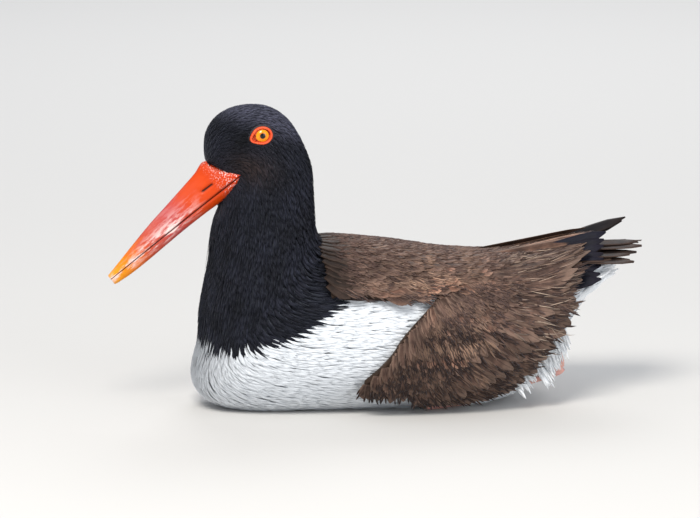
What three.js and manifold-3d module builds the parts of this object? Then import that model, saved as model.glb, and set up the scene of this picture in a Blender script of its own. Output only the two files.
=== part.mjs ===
// American oystercatcher sitting on flat ground, life size, as a still museum model.
// Millimetres. Bill towards +X, the bird's left side towards +Y, up is +Z.
// The origin is on the floor, under the middle of the belly.
import * as THREE from 'three';
import { ParametricGeometry } from 'three/addons/geometries/ParametricGeometry.js';
import { mergeVertices } from 'three/addons/utils/BufferGeometryUtils.js';
import Module from 'manifold-3d';

const wasm = await Module();
wasm.setup();

// Driving dimensions
const GAP = 0.3;
const LEFT = 1;
const RIGHT = -1;
const BODY_FULLNESS = 0.87;
const BODY_SIDES = 28;
// The share of the way down a head section, from -1 at the crown to 1 at the chin, where the jaw narrows.
const JAW_FROM = -0.45;
const JAW_TO = 0.5;
const TORSO_RINGS = 1.15;
const HEAD_RINGS = 1.5;
const FLOOR_DEPTH = 30;
const FLOOR_SPAN = 600;

// The plumage outline as stations from the tail root to the bill. Each has a point on the back line,
// a point on the belly line, both as [x, z], the half width between them, and how far the cheeks
// narrow to the jaw.
const STATIONS = [
  { back: [-127, 85.5], belly: [-131, 80], half: 7, jaw: 0 },
  { back: [-118, 84.5], belly: [-122, 71.5], half: 15, jaw: 0 },
  { back: [-106, 83.5], belly: [-111, 59], half: 24, jaw: 0 },
  { back: [-90, 83], belly: [-99, 42], half: 34, jaw: 0 },
  { back: [-72, 82.8], belly: [-90, 23], half: 43, jaw: 0 },
  { back: [-52, 83.5], belly: [-76, 8], half: 50, jaw: 0 },
  { back: [-30, 84.3], belly: [-50, -1.5], half: 55, jaw: 0 },
  { back: [-8, 88.3], belly: [-15, -3], half: 57, jaw: 0 },
  { back: [12, 91.5], belly: [22, -3], half: 56.5, jaw: 0 },
  { back: [28, 93.5], belly: [56, -3], half: 54, jaw: 0 },
  { back: [39, 95.6], belly: [87, -2.5], half: 50.5, jaw: 0 },
  { back: [45.2, 99.4], belly: [110, 3.5], half: 47, jaw: 0 },
  { back: [47.2, 106], belly: [119, 16], half: 43.5, jaw: 0 },
  { back: [47.6, 112], belly: [115.5, 36], half: 40, jaw: 0 },
  { back: [47.8, 118], belly: [114.8, 54], half: 36, jaw: 0 },
  { back: [48, 125], belly: [112, 71], half: 31, jaw: 0 },
  { back: [48.2, 132], belly: [109.3, 86], half: 27, jaw: 0 },
  { back: [49, 139.5], belly: [108.3, 99], half: 24.2, jaw: 0 },
  { back: [51.8, 148], belly: [106.5, 108.5], half: 22, jaw: 0.08 },
  { back: [56.8, 158.5], belly: [104.5, 114], half: 20.6, jaw: 0.2 },
  { back: [63.8, 168.2], belly: [103.6, 116], half: 19.6, jaw: 0.36 },
  { back: [73, 174.3], belly: [103.6, 116.8], half: 18.6, jaw: 0.52 },
  { back: [84, 176.2], belly: [103.8, 117.2], half: 17.4, jaw: 0.56 },
  { back: [95.5, 174.6], belly: [104.1, 117.5], half: 15.4, jaw: 0.5 },
  { back: [104.6, 169.6], belly: [104.5, 117.8], half: 13, jaw: 0.42 },
  { back: [110.3, 161.5], belly: [105, 118], half: 10.8, jaw: 0.3 },
  { back: [111.6, 152.5], belly: [105.5, 118.2], half: 9, jaw: 0.15 },
  { back: [110.8, 145.5], belly: [106, 118.6], half: 7.8, jaw: 0.1 },
];
const HEAD_START = 18.5;
const NECK_START = 13.2;

// The sheet that the folded wings and the scapulars lie in, by x: its crest, its lower edge and half width.
const SHEET = [
  { x: 50, crest: 96.5, foot: 0, half: 53 },
  { x: 28, crest: 94.4, foot: -6, half: 60 },
  { x: 0, crest: 90.8, foot: -8, half: 62 },
  { x: -30, crest: 85.8, foot: -7, half: 61 },
  { x: -60, crest: 84.2, foot: -2, half: 56 },
  { x: -90, crest: 87.6, foot: 12, half: 46.5 },
  { x: -118, crest: 92.5, foot: 40, half: 34 },
  { x: -150, crest: 97, foot: 60, half: 22 },
];

// Bill, along the line from the gape to the tip
const GAPE = new THREE.Vector2(91.5, 136.3);
const BILL_TIP = new THREE.Vector2(167, 76.1);
const BILL_LENGTH = GAPE.distanceTo(BILL_TIP);
const BILL_DIR = BILL_TIP.clone().sub(GAPE).normalize();
const BILL_SIDES = 14;
// Each row gives the distance from the gape, the ridge above the mouth line, the keel below it and the
// half width.
const BILL_ROWS = [
  { at: 0, ridge: 4, keel: 3, half: 9.4 },
  { at: 6, ridge: 13, keel: 5.8, half: 9 },
  { at: 12, ridge: 18.2, keel: 6.6, half: 8.2 },
  { at: 20, ridge: 16.1, keel: 6.2, half: 7 },
  { at: 30, ridge: 14.4, keel: 5.6, half: 5.9 },
  { at: 44, ridge: 12.2, keel: 5.3, half: 4.9 },
  { at: 58, ridge: 10.1, keel: 5.4, half: 4 },
  { at: 73, ridge: 7.1, keel: 5.6, half: 3.1 },
  { at: 85, ridge: 4.5, keel: 5.3, half: 2.5 },
  { at: BILL_LENGTH - 1.8, ridge: 2.4, keel: 4.3, half: 1.8 },
];
// The feather edge round the base of the bill, seen from the side as [x, z], closed in front of the face.
const FACE_EDGE = [
  [112.5, 145.2], [107.4, 143.2], [103.3, 139.6], [98.6, 137], [92.8, 135.6], [99.7, 126.4], [106.8, 119.1],
  [109, 112], [140, 110], [140, 150],
];
const MOUTH_SLIT = 0.35;
const NOSTRIL = { from: 17, to: 27, above: 5, height: 1.1, depth: 1.4, side: 6.6 };

// Eye and the fleshy ring round it
const EYE = { x: 80.4, z: 160.2, radius: 5.4, side: 12.6, sides: 16 };
const LID = { width: 11.6, height: 9.8, corner: 1.4, thick: 1.15, out: 17.6, sides: 22, section: 6 };

// Leg, folded under the belly with the heel showing behind
const LEG = {
  kneeX: -86, kneeY: 30, kneeZ: 44, heelX: -89.5, heelY: 33, heelZ: 23,
  footX: -36, footY: 21, footZ: 4.4, shin: 3.4, heel: 4.4, tarsus: 2.8, sides: 7,
};
const TOES = [
  { angle: 30, length: 27, radius: 2.5 },
  { angle: 2, length: 35, radius: 2.7 },
  { angle: -26, length: 29, radius: 2.5 },
];

// Tail fan
const TAIL = {
  rootX: -58, rootZ: 86, tipX: -144, tipZ: 87.2, feathers: 10, fan: 21, width: 17, thick: 0.9, layer: 0.42,
};

// How close two points must be to be one, and how far a union's faces may be simplified.
const MERGE = 1e-3;
const WING_SIMPLIFY = 0.12;
const TAIL_SIMPLIFY = 0.03;
// The closed side of a mandible is a hair narrower than its open side, so that the two never share a point.
const MOUTH_SIDE_WIDTH = 0.999;

const deg = THREE.MathUtils.degToRad;
const lerp = THREE.MathUtils.lerp;

// A value in 0 to 1 that repeats for the same seed.
function seeded(seed) {
  let state = seed;
  return () => {
    state = (state * 16807) % 2147483647;
    return state / 2147483647;
  };
}

// A smooth curve through named rows: gives each field at a fractional row number.
function smoothRows(rows, fields) {
  const pick = (row, field) => field.split('.').reduce((value, key) => value[key], row);
  return (place) => {
    const low = Math.min(Math.floor(place), rows.length - 2);
    const share = place - low;
    const out = {};
    for (const field of fields) {
      const value = (index) => pick(rows[THREE.MathUtils.clamp(index, 0, rows.length - 1)], field);
      const [before, from, to, after] = [value(low - 1), value(low), value(low + 1), value(low + 2)];
      const slopeFrom = (to - before) / 2;
      const slopeTo = (after - from) / 2;
      const square = share * share;
      const cube = square * share;
      out[field] = from * (2 * cube - 3 * square + 1) + slopeFrom * (cube - 2 * square + share)
        + to * (3 * square - 2 * cube) + slopeTo * (cube - square);
    }
    return out;
  };
}

// A closed three.js geometry as a solid, turned to face outwards.
function solidFrom(geometry) {
  const bare = new THREE.BufferGeometry().setAttribute('position', geometry.getAttribute('position'));
  if (geometry.index) bare.setIndex(geometry.index);
  const merged = mergeVertices(bare, MERGE);
  const points = merged.getAttribute('position').array;
  const kept = [];
  let volume = 0;
  for (let i = 0; i < merged.index.count; i += 3) {
    const [a, b, c] = [0, 1, 2].map((k) => merged.index.getX(i + k));
    if (a === b || b === c || c === a) continue;
    kept.push(a, b, c);
    const [p, q, r] = [a, b, c].map((k) => new THREE.Vector3().fromArray(points, 3 * k));
    volume += p.dot(q.cross(r));
  }
  if (volume < 0) {
    for (let i = 0; i < kept.length; i += 3) [kept[i + 1], kept[i + 2]] = [kept[i + 2], kept[i + 1]];
  }
  const mesh = new wasm.Mesh({ numProp: 3, vertProperties: points, triVerts: new Uint32Array(kept) });
  return new wasm.Manifold(mesh);
}

// The largest closed body of a solid, as a geometry.
function geometryFrom(solid) {
  const bodies = solid.decompose().sort((a, b) => b.volume() - a.volume());
  const mesh = bodies[0].getMesh();
  const geometry = new THREE.BufferGeometry();
  geometry.setAttribute('position', new THREE.BufferAttribute(new Float32Array(mesh.vertProperties), 3));
  geometry.setIndex(new THREE.BufferAttribute(new Uint32Array(mesh.triVerts), 1));
  geometry.computeVertexNormals();
  return geometry;
}

const joined = (solids) => solids.reduce((sum, solid) => sum.add(solid));

// A closed tube of rings: ringPoint(ring, turn) gives the points, and flat fans close the two end rings.
function ringSolid(rings, sides, ringPoint) {
  const last = rings + 1;
  const middle = (ring) => {
    const sum = new THREE.Vector3();
    for (let k = 0; k < sides; k += 1) sum.add(ringPoint(ring, k / sides));
    return sum.divideScalar(sides);
  };
  const ends = [middle(0), middle(rings - 1)];
  return solidFrom(new ParametricGeometry((u, v, target) => {
    const row = Math.round(v * last);
    if (row === 0) target.copy(ends[0]);
    else if (row === last) target.copy(ends[1]);
    else target.copy(ringPoint(row - 1, (Math.round(u * sides) % sides) / sides));
  }, sides, last));
}

// Body

const bodyRow = smoothRows(STATIONS, ['back.0', 'back.1', 'belly.0', 'belly.1', 'half', 'jaw']);

// A point of the plumage at a station and a turn round the body: 0 is the back line and 0.5 the belly line.
function bodyPoint(station, turn, grow) {
  const row = bodyRow(station);
  const back = new THREE.Vector2(row['back.0'], row['back.1']);
  const belly = new THREE.Vector2(row['belly.0'], row['belly.1']);
  const middle = back.clone().add(belly).divideScalar(2);
  const reach = back.clone().sub(middle);
  const long = reach.length() + grow;
  const [c, s] = [Math.cos(2 * Math.PI * turn), Math.sin(2 * Math.PI * turn)];
  const along = Math.sign(c) * Math.abs(c) ** BODY_FULLNESS * long;
  const narrowing = 1 - row.jaw * THREE.MathUtils.smoothstep(-c, JAW_FROM, JAW_TO);
  const across = Math.sign(s) * Math.abs(s) ** BODY_FULLNESS * (row.half * narrowing + grow);
  const spot = middle.addScaledVector(reach.normalize(), along);
  return new THREE.Vector3(spot.x, across, spot.y);
}

function bodySolid(from, to, perStation, grow = 0) {
  const rings = Math.round((to - from) * perStation) + 1;
  const station = (ring) => lerp(from, to, ring / (rings - 1));
  return ringSolid(rings, BODY_SIDES, (ring, turn) => bodyPoint(station(ring), turn, grow));
}

// A thin slab along the section plane at a station, used to part head, neck and torso.
function partingSlab(station) {
  const row = bodyRow(station);
  const slab = new THREE.BoxGeometry(200, 200, GAP);
  const angle = Math.atan2(row['belly.1'] - row['back.1'], row['belly.0'] - row['back.0']);
  slab.rotateY(-angle);
  slab.translate((row['back.0'] + row['belly.0']) / 2, 0, (row['back.1'] + row['belly.1']) / 2);
  return solidFrom(slab);
}

function floorSolid() {
  const block = new THREE.BoxGeometry(FLOOR_SPAN, FLOOR_SPAN, FLOOR_DEPTH);
  block.translate(0, 0, -FLOOR_DEPTH / 2);
  return solidFrom(block);
}

// Wing sheet

const sheetRow = smoothRows(SHEET, ['x', 'crest', 'foot', 'half']);

// The sheet's fields at x, found by walking its rows.
function sheetAt(x) {
  let low = 0;
  let high = SHEET.length - 1;
  for (let step = 0; step < 24; step += 1) {
    const mid = (low + high) / 2;
    if (sheetRow(mid).x > x) low = mid;
    else high = mid;
  }
  return sheetRow(low);
}

function sheetSpot(x, angle) {
  const row = sheetAt(x);
  const middle = (row.crest + row.foot) / 2;
  const tall = (row.crest - row.foot) / 2;
  const [c, s] = [Math.cos(deg(angle)), Math.sin(deg(angle))];
  const z = middle + Math.sign(c) * Math.abs(c) ** BODY_FULLNESS * tall;
  return new THREE.Vector3(x, Math.sign(s) * Math.abs(s) ** BODY_FULLNESS * row.half, z);
}

// A point on the sheet at x and an angle from the crest down the side, lifted out along the sheet's normal.
function sheetPoint(x, angle, lift, side) {
  const step = 1;
  const spot = sheetSpot(x, angle);
  const alongX = sheetSpot(x + step, angle).sub(sheetSpot(x - step, angle));
  const down = sheetSpot(x, angle + step).sub(sheetSpot(x, angle - step));
  const out = down.cross(alongX).normalize();
  if (out.y * Math.sin(deg(angle)) < 0 || (Math.abs(out.y) < 0.2 && out.z < 0)) out.negate();
  spot.addScaledVector(out, lift);
  spot.y *= side;
  return spot;
}

// The angle on the sheet at which a side view sees height z.
function sheetAngle(x, z) {
  const row = sheetAt(x);
  const share = THREE.MathUtils.clamp((2 * z - row.crest - row.foot) / (row.crest - row.foot), -1, 1);
  return THREE.MathUtils.radToDeg(Math.acos(Math.sign(share) * Math.abs(share) ** (1 / BODY_FULLNESS)));
}

const flank = (x, z) => ({ x, angle: sheetAngle(x, z) });

// A closed thin form on a grid: top and bottom have the same triangles, and the rim joins them.
function plateSolid(rows, columns, topPoint, bottomPoint) {
  const points = [];
  const faces = [];
  const index = (layer, row, column) => layer * (rows + 1) * (columns + 1) + row * (columns + 1) + column;
  for (const point of [topPoint, bottomPoint]) {
    for (let row = 0; row <= rows; row += 1) {
      for (let column = 0; column <= columns; column += 1) points.push(point(row / rows, column / columns));
    }
  }
  const quad = (a, b, c, d) => faces.push(a, b, c, a, c, d);
  for (let row = 0; row < rows; row += 1) {
    for (let column = 0; column < columns; column += 1) {
      const corners = [[row, column], [row, column + 1], [row + 1, column + 1], [row + 1, column]];
      const top = corners.map(([r, c]) => index(0, r, c));
      const low = corners.map(([r, c]) => index(1, r, c));
      quad(...top);
      faces.push(low[0], low[2], low[1], low[0], low[3], low[2]);
    }
  }
  const rim = [];
  for (let column = 0; column < columns; column += 1) rim.push([0, column]);
  for (let row = 0; row < rows; row += 1) rim.push([row, columns]);
  for (let column = columns; column > 0; column -= 1) rim.push([rows, column]);
  for (let row = rows; row > 0; row -= 1) rim.push([row, 0]);
  rim.forEach(([row, column], k) => {
    const [nextRow, nextColumn] = rim[(k + 1) % rim.length];
    const [a, b] = [index(0, row, column), index(0, nextRow, nextColumn)];
    quad(b, a, index(1, row, column), index(1, nextRow, nextColumn));
  });
  const geometry = new THREE.BufferGeometry().setFromPoints(points);
  geometry.setIndex(faces);
  return solidFrom(geometry);
}

// A feather vane's half width along its length, as a share of its full half width.
function vaneShape(share, rootShare, tipStart) {
  const root = lerp(rootShare, 1, Math.min(1, share / 0.45));
  if (share < tipStart) return root;
  const past = (share - tipStart) / (1 - tipStart);
  return root * Math.sqrt(Math.max(0, 1 - past * past * 0.985));
}

// A vane that lies in the wing sheet from root to tip, both given by flank() or as { x, angle }.
function sheetVane(root, tip, width, lift, side, thick, tipStart) {
  const steps = 4;
  const place = (share, across, layer) => {
    const x = lerp(root.x, tip.x, share);
    const angle = lerp(root.angle, tip.angle, share);
    const next = share + 0.02;
    const here = sheetPoint(x, angle, 0, 1);
    const ahead = sheetPoint(lerp(root.x, tip.x, next), lerp(root.angle, tip.angle, next), 0, 1);
    const row = sheetAt(x);
    const along = ahead.sub(here).normalize();
    const reach = across * (width / 2) * vaneShape(share, 0.62, tipStart);
    const girth = (Math.PI * (row.crest - row.foot + 2 * row.half)) / 4 / 180;
    const flat = Math.hypot(along.x, Math.hypot(along.y, along.z)) || 1;
    const downShare = -along.x / flat;
    const sign = Math.sign(-along.z) || 1;
    const sideShare = Math.sqrt(Math.max(0, 1 - downShare * downShare)) * sign;
    const rise = lerp(lift[0], lift[1], share) - Math.abs(across) * 0.25 + layer;
    return sheetPoint(x + reach * sideShare, angle + (reach * downShare) / girth, rise, side);
  };
  const face = (layer) => (a, b) => place(a, 2 * b - 1, layer);
  return plateSolid(steps, 2, face(thick / 2), face(-thick / 2));
}

// A tier of vanes spread evenly between a first and a last one.
function vaneTier({ count, roots, tips, width, lift, thick, tipStart, seed }, side) {
  const random = seeded(seed);
  return Array.from({ length: count }, (unused, k) => {
    const share = count > 1 ? k / (count - 1) : 0;
    const between = (line, jitter) => {
      const spot = smoothRows(line, ['x', 'angle'])(share * (line.length - 1));
      return { x: spot.x + jitter * (random() - 0.5), angle: spot.angle + jitter * 0.6 * (random() - 0.5) };
    };
    const layer = (k % 2) * 0.35;
    const heights = [lift[0], lift[1] + layer];
    return sheetVane(between(roots, 0), between(tips, 3), width, heights, side, thick, tipStart);
  });
}

// A patch of the sheet between an upper and a lower edge, thick in the middle and thin at its rim.
function sheetPatch(upper, lower, inner, outer, side, rows = 8, columns = 5) {
  const edge = (line, share) => smoothRows(line, ['x', 'angle'])(share * (line.length - 1));
  const spot = (a, b, lift) => {
    const [top, low] = [edge(upper, a), edge(lower, a)];
    return sheetPoint(lerp(top.x, low.x, b), lerp(top.angle, low.angle, b), lift, side);
  };
  const bulge = (share) => Math.sin(Math.PI * lerp(0.08, 0.92, share)) ** 0.35;
  const top = (a, b) => spot(a, b, outer * bulge(a) * bulge(b));
  return plateSolid(rows, columns, top, (a, b) => spot(a, b, inner));
}

// Wings

const WING_OUTER = 2.6;
const WING_INNER = -6;

// The left wing droops to the ground and fans at the rear; the right wing is held a little higher.
function wingTiers(side) {
  const up = side === LEFT ? 0 : 10;
  const rise = side === LEFT ? 0 : 8;
  const at = (x, z) => flank(x, z + up * THREE.MathUtils.clamp((70 - z) / 60, 0, 1));
  return {
    core: {
      upper: [at(-9, 67), at(-22, 76), at(-42, 78), at(-70, 80), at(-98, 80)],
      lower: [at(34, 18), at(4, 8), at(-34, 8), at(-66, 26), at(-96, 66)],
    },
    secondaries: {
      count: 8, width: 23, lift: [0.6, 1.1], thick: 1, seed: 11, tipStart: 0.6,
      roots: [at(2, 40), at(-24, 60), at(-62, 82)],
      tips: [at(-26, 5), at(-70, 17), at(-96, 51), at(-114, 79)],
    },
    coverts: {
      count: 6, width: 23, lift: [1.4, 2.8], thick: 1, seed: 23, tipStart: 0.5,
      roots: [at(10, 40), at(-14, 62), at(-40, 80)], tips: [at(-2, 9), at(-46, 24), at(-84, 74)],
    },
    tertials: {
      count: 3, width: 21, lift: [1.2, 3], thick: 1, seed: 31, tipStart: 0.7,
      roots: [{ x: -34, angle: 34 }, { x: -30, angle: 20 }],
      tips: [{ x: -117, angle: 44 }, { x: -120, angle: 14 }],
    },
    primaries: {
      count: 4, width: 10.5, lift: [-1.2, -0.4 + rise], thick: 1.1, seed: 43, tipStart: 0.72,
      roots: [{ x: -76, angle: 40 }, { x: -76, angle: 22 }],
      tips: side === LEFT
        ? [{ x: -121, angle: 52 }, { x: -126, angle: 16 }]
        : [{ x: -122, angle: 30 }, { x: -139, angle: 7 }],
    },
    mantle: {
      upper: [
        { x: 45, angle: 2 }, { x: 25, angle: 1.5 }, { x: -5, angle: 1.5 }, { x: -32, angle: 2 },
        { x: -56, angle: 5 },
      ],
      lower: [flank(45, 62), flank(33, 62), flank(6, 60), flank(-22, 69), flank(-50, 79)],
    },
    scapulars: {
      count: 5, width: 21, lift: [1.4, 3], thick: 1, seed: 57, tipStart: 0.5,
      roots: [flank(30, 72), { x: -20, angle: 16 }], tips: [flank(12, 58), { x: -62, angle: 20 }],
    },
  };
}

function wingSolid(side) {
  const tiers = wingTiers(side);
  const feathers = ['secondaries', 'coverts', 'tertials', 'primaries', 'scapulars'];
  const vanes = feathers.flatMap((name) => vaneTier(tiers[name], side));
  const core = sheetPatch(tiers.core.upper, tiers.core.lower, WING_INNER, WING_OUTER, side);
  const mantle = sheetPatch(tiers.mantle.upper, tiers.mantle.lower, WING_INNER, WING_OUTER + 1.2, side);
  return joined([core, mantle, ...vanes]).simplify(WING_SIMPLIFY);
}

// Tail

function tailSolid(grow = 0) {
  const vane = (k) => {
    const share = (k / (TAIL.feathers - 1)) * 2 - 1;
    const angle = deg(TAIL.fan * share);
    const length = grow + (TAIL.rootX - TAIL.tipX) * (1 - 0.1 * share * share) / Math.cos(angle);
    const start = 0.5;
    const drop = Math.abs(share) * (TAIL.feathers / 2) * TAIL.layer;
    const point = (a, across, layer) => {
      const along = length * lerp(start, 1, a);
      const reach = across * (TAIL.width / 2 + grow) * vaneShape(a, 0.7, 0.8);
      const x = TAIL.rootX - along * Math.cos(angle) - reach * Math.sin(angle);
      const y = along * Math.sin(angle) - reach * Math.cos(angle);
      const roof = Math.abs(y) * 0.03;
      const edge = Math.abs(across) * 0.15;
      return new THREE.Vector3(x, y, lerp(TAIL.rootZ, TAIL.tipZ, a) - drop - roof + layer - edge);
    };
    const half = TAIL.thick / 2 + grow;
    const face = (layer) => (a, b) => point(a, 2 * b - 1, layer);
    return plateSolid(4, 2, face(half), face(-half));
  };
  const covertPoint = (a, b, rise) => {
    const across = 2 * b - 1;
    const angle = deg(TAIL.fan * 1.02 * across);
    const along = lerp(30, 68 + grow, a) + 3 * Math.cos(8 * Math.PI * b) * a;
    const reach = along * Math.tan(angle) + grow * across;
    return new THREE.Vector3(TAIL.rootX - along, reach, TAIL.rootZ + rise - Math.abs(across) * 3);
  };
  const coverts = plateSolid(4, 8, (a, b) => {
    const swell = Math.max(0.3, (1 - a) * 4.2 * Math.cos((2 * b - 1) * 1.2));
    return covertPoint(a, b, swell + grow);
  }, (a, b) => covertPoint(a, b, -1.5 - grow));
  const vanes = Array.from({ length: TAIL.feathers }, (unused, k) => vane(k));
  return joined([...vanes, coverts]).simplify(TAIL_SIMPLIFY);
}

// Bill

const billRow = smoothRows(BILL_ROWS, ['at', 'ridge', 'keel', 'half']);

// One mandible: a half section on one side of the mouth line, from the gape to the rounded tip.
function mandible(upper, grow = 0) {
  const rings = (BILL_ROWS.length - 1) * 2 + 3;
  const normal = new THREE.Vector2(-BILL_DIR.y, BILL_DIR.x);
  return ringSolid(rings, BILL_SIDES, (ring, turn) => {
    const body = Math.min(ring, rings - 3) / 2;
    const row = billRow(body);
    const blunt = [1, 0.82, 0.45][Math.max(0, ring - (rings - 3))];
    const extra = [0, 0.9, 1.4][Math.max(0, ring - (rings - 3))];
    const at = row.at + extra + grow * (ring < 1 ? -1 : 0) + grow * (ring >= rings - 1 ? 1 : 0);
    const tall = ((upper ? row.ridge : row.keel) + grow) * blunt;
    const half = (row.half + grow) * blunt;
    const angle = 2 * Math.PI * turn;
    const flat = upper ? MOUTH_SLIT / 2 - grow : grow - MOUTH_SLIT / 2;
    const lift = Math.sin(angle) > 0 ? Math.sin(angle) ** 0.9 * tall : 0;
    const rise = upper ? Math.max(flat, lift) : Math.min(flat, -lift);
    const spot = GAPE.clone().addScaledVector(BILL_DIR, at).addScaledVector(normal, rise);
    const pinch = Math.sin(angle) > 0 ? 1 : MOUTH_SIDE_WIDTH;
    return new THREE.Vector3(spot.x, Math.cos(angle) * half * pinch, spot.y);
  });
}

// The slit of a nostril, as a cutter set in the side of the upper mandible.
function nostrilCut(side) {
  const cut = new THREE.BoxGeometry(NOSTRIL.to - NOSTRIL.from, 2 * NOSTRIL.depth, NOSTRIL.height);
  const middle = (NOSTRIL.from + NOSTRIL.to) / 2;
  cut.translate(middle, side * NOSTRIL.side, NOSTRIL.above);
  cut.rotateY(-Math.atan2(BILL_DIR.y, BILL_DIR.x));
  cut.translate(GAPE.x, 0, GAPE.y);
  return solidFrom(cut);
}

// Everything in front of the feather edge, as a cutter for the head.
function faceCut() {
  const shape = new THREE.Shape(FACE_EDGE.map(([x, z]) => new THREE.Vector2(x, z)));
  const prism = new THREE.ExtrudeGeometry(shape, { depth: 60, bevelEnabled: false });
  prism.rotateX(Math.PI / 2);
  prism.translate(0, 30, 0);
  return solidFrom(prism);
}

// Eye and lid

function eyeSolid(side, grow = 0) {
  const ball = new THREE.SphereGeometry(EYE.radius + grow, EYE.sides, EYE.sides / 2);
  ball.rotateX(Math.PI / 2);
  ball.translate(EYE.x, side * EYE.side, EYE.z);
  return solidFrom(ball);
}

// The ring of bare skin: an oval with a drawn-out front corner, bent to the head.
function lidSolid(side, grow = 0) {
  const thick = LID.thick + grow;
  const ringPoint = (turn, section) => {
    const angle = 2 * Math.PI * turn;
    const corner = Math.max(0, Math.cos(angle + 0.35)) ** 6 * LID.corner;
    const wide = Math.cos(angle) * (LID.width / 2 - LID.thick * 0.8 + corner);
    const tall = Math.sin(angle) * (LID.height / 2 - LID.thick * 0.8) - corner * 0.9;
    const bow = 0.03 * (wide * wide + tall * tall);
    const turnAngle = 2 * Math.PI * section;
    const out = Math.cos(turnAngle) * thick;
    return new THREE.Vector3(
      EYE.x + wide + Math.cos(angle) * out,
      side * (LID.out - bow + Math.sin(turnAngle) * thick),
      EYE.z + tall + Math.sin(angle) * out,
    );
  };
  return solidFrom(new ParametricGeometry((u, v, target) => {
    const turn = (Math.round(u * LID.sides) % LID.sides) / LID.sides;
    const section = (Math.round(v * LID.section) % LID.section) / LID.section;
    target.copy(ringPoint(turn, section));
  }, LID.sides, LID.section));
}

// Legs

// A round limb through a list of points with a radius at each.
function limbSolid(points, radii, sides, grow = 0) {
  const count = points.length;
  const near = (k) => points[THREE.MathUtils.clamp(k, 0, count - 1)];
  const ahead = (k) => near(k + 1).clone().sub(near(k - 1)).normalize();
  return ringSolid(count, sides, (ring, turn) => {
    const along = ahead(ring);
    const across = new THREE.Vector3(0, 1, 0).cross(along).normalize();
    const over = along.clone().cross(across);
    const angle = 2 * Math.PI * turn;
    const radius = radii[ring] + grow;
    const end = ring === 0 ? -grow : ring === count - 1 ? grow : 0;
    return points[ring].clone().addScaledVector(across, Math.cos(angle) * radius)
      .addScaledVector(over, Math.sin(angle) * radius).addScaledVector(along, end);
  });
}

function toeSolid(toe, side, grow = 0) {
  const turn = deg(toe.angle) * side;
  const shares = [-0.1, 0.05, 0.5, 0.86, 1];
  const swell = [0.6, 1, 0.85, 0.7, 0.3];
  const points = shares.map((share) => new THREE.Vector3(
    LEG.footX + Math.cos(turn) * toe.length * share,
    side * LEG.footY + Math.sin(turn) * toe.length * share,
    toe.radius * 0.75,
  ));
  return limbSolid(points, swell.map((share) => share * toe.radius), 6, grow);
}

function legSolid(side, grow = 0) {
  const at = (x, y, z) => new THREE.Vector3(x, side * y, z);
  const shin = limbSolid([at(LEG.kneeX, LEG.kneeY, LEG.kneeZ), at(LEG.heelX, LEG.heelY, LEG.heelZ)],
    [LEG.shin, LEG.shin], LEG.sides, grow);
  const heel = new THREE.SphereGeometry(LEG.heel + grow, 8, 5);
  heel.translate(LEG.heelX, side * LEG.heelY, LEG.heelZ);
  const tarsus = limbSolid([at(LEG.heelX, LEG.heelY, LEG.heelZ), at(LEG.footX, LEG.footY, LEG.footZ)],
    [LEG.tarsus, LEG.tarsus], LEG.sides, grow);
  const pad = new THREE.SphereGeometry(3.6 + grow, 8, 5);
  pad.translate(LEG.footX, side * LEG.footY, 3.4);
  const toes = TOES.map((toe) => toeSolid(toe, side, grow));
  return joined([shin, solidFrom(heel), tarsus, solidFrom(pad), ...toes]);
}

// Assembly

const floor = floorSolid();
const last = STATIONS.length - 1;
const grownBody = bodySolid(0, last, TORSO_RINGS, GAP);
const legs = [LEFT, RIGHT].map((side) => legSolid(side));
const grownLegs = [LEFT, RIGHT].map((side) => legSolid(side, GAP));
const lids = [LEFT, RIGHT].map((side) => lidSolid(side));
const grownTail = tailSolid(GAP);
const grownLids = [LEFT, RIGHT].map((side) => lidSolid(side, GAP));
const eyes = [LEFT, RIGHT].map((side) => eyeSolid(side));
const grownEyes = [LEFT, RIGHT].map((side) => eyeSolid(side, GAP));
const billUpper = mandible(true);
const billLower = mandible(false);
const grownBill = mandible(true, GAP).add(mandible(false, GAP));

const cutFrom = (solid, cutters) => cutters.reduce((rest, cutter) => rest.subtract(cutter), solid);
const headPart = bodySolid(HEAD_START, last, HEAD_RINGS);
const neckPart = bodySolid(NECK_START, HEAD_START, HEAD_RINGS);
const torsoPart = bodySolid(0, NECK_START, TORSO_RINGS);

const materials = {
  black: new THREE.MeshStandardMaterial({ color: '#1b1b20', roughness: 0.75, metalness: 0 }),
  torso: new THREE.MeshStandardMaterial({ color: '#dfe3e6', roughness: 0.85, metalness: 0 }),
  brown: new THREE.MeshStandardMaterial({ color: '#4d3b31', roughness: 0.8, metalness: 0 }),
  tail: new THREE.MeshStandardMaterial({ color: '#3a2c27', roughness: 0.8, metalness: 0 }),
  bill: new THREE.MeshStandardMaterial({ color: '#ef4a22', roughness: 0.4, metalness: 0 }),
  iris: new THREE.MeshStandardMaterial({ color: '#f7a81b', roughness: 0.1, metalness: 0 }),
  lid: new THREE.MeshStandardMaterial({ color: '#f2622c', roughness: 0.5, metalness: 0 }),
  leg: new THREE.MeshStandardMaterial({ color: '#d99a90', roughness: 0.6, metalness: 0 }),
};

const bird = new THREE.Group();
function addNode(name, solid, material) {
  const mesh = new THREE.Mesh(geometryFrom(solid), material);
  mesh.name = name;
  bird.add(mesh);
}

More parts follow.
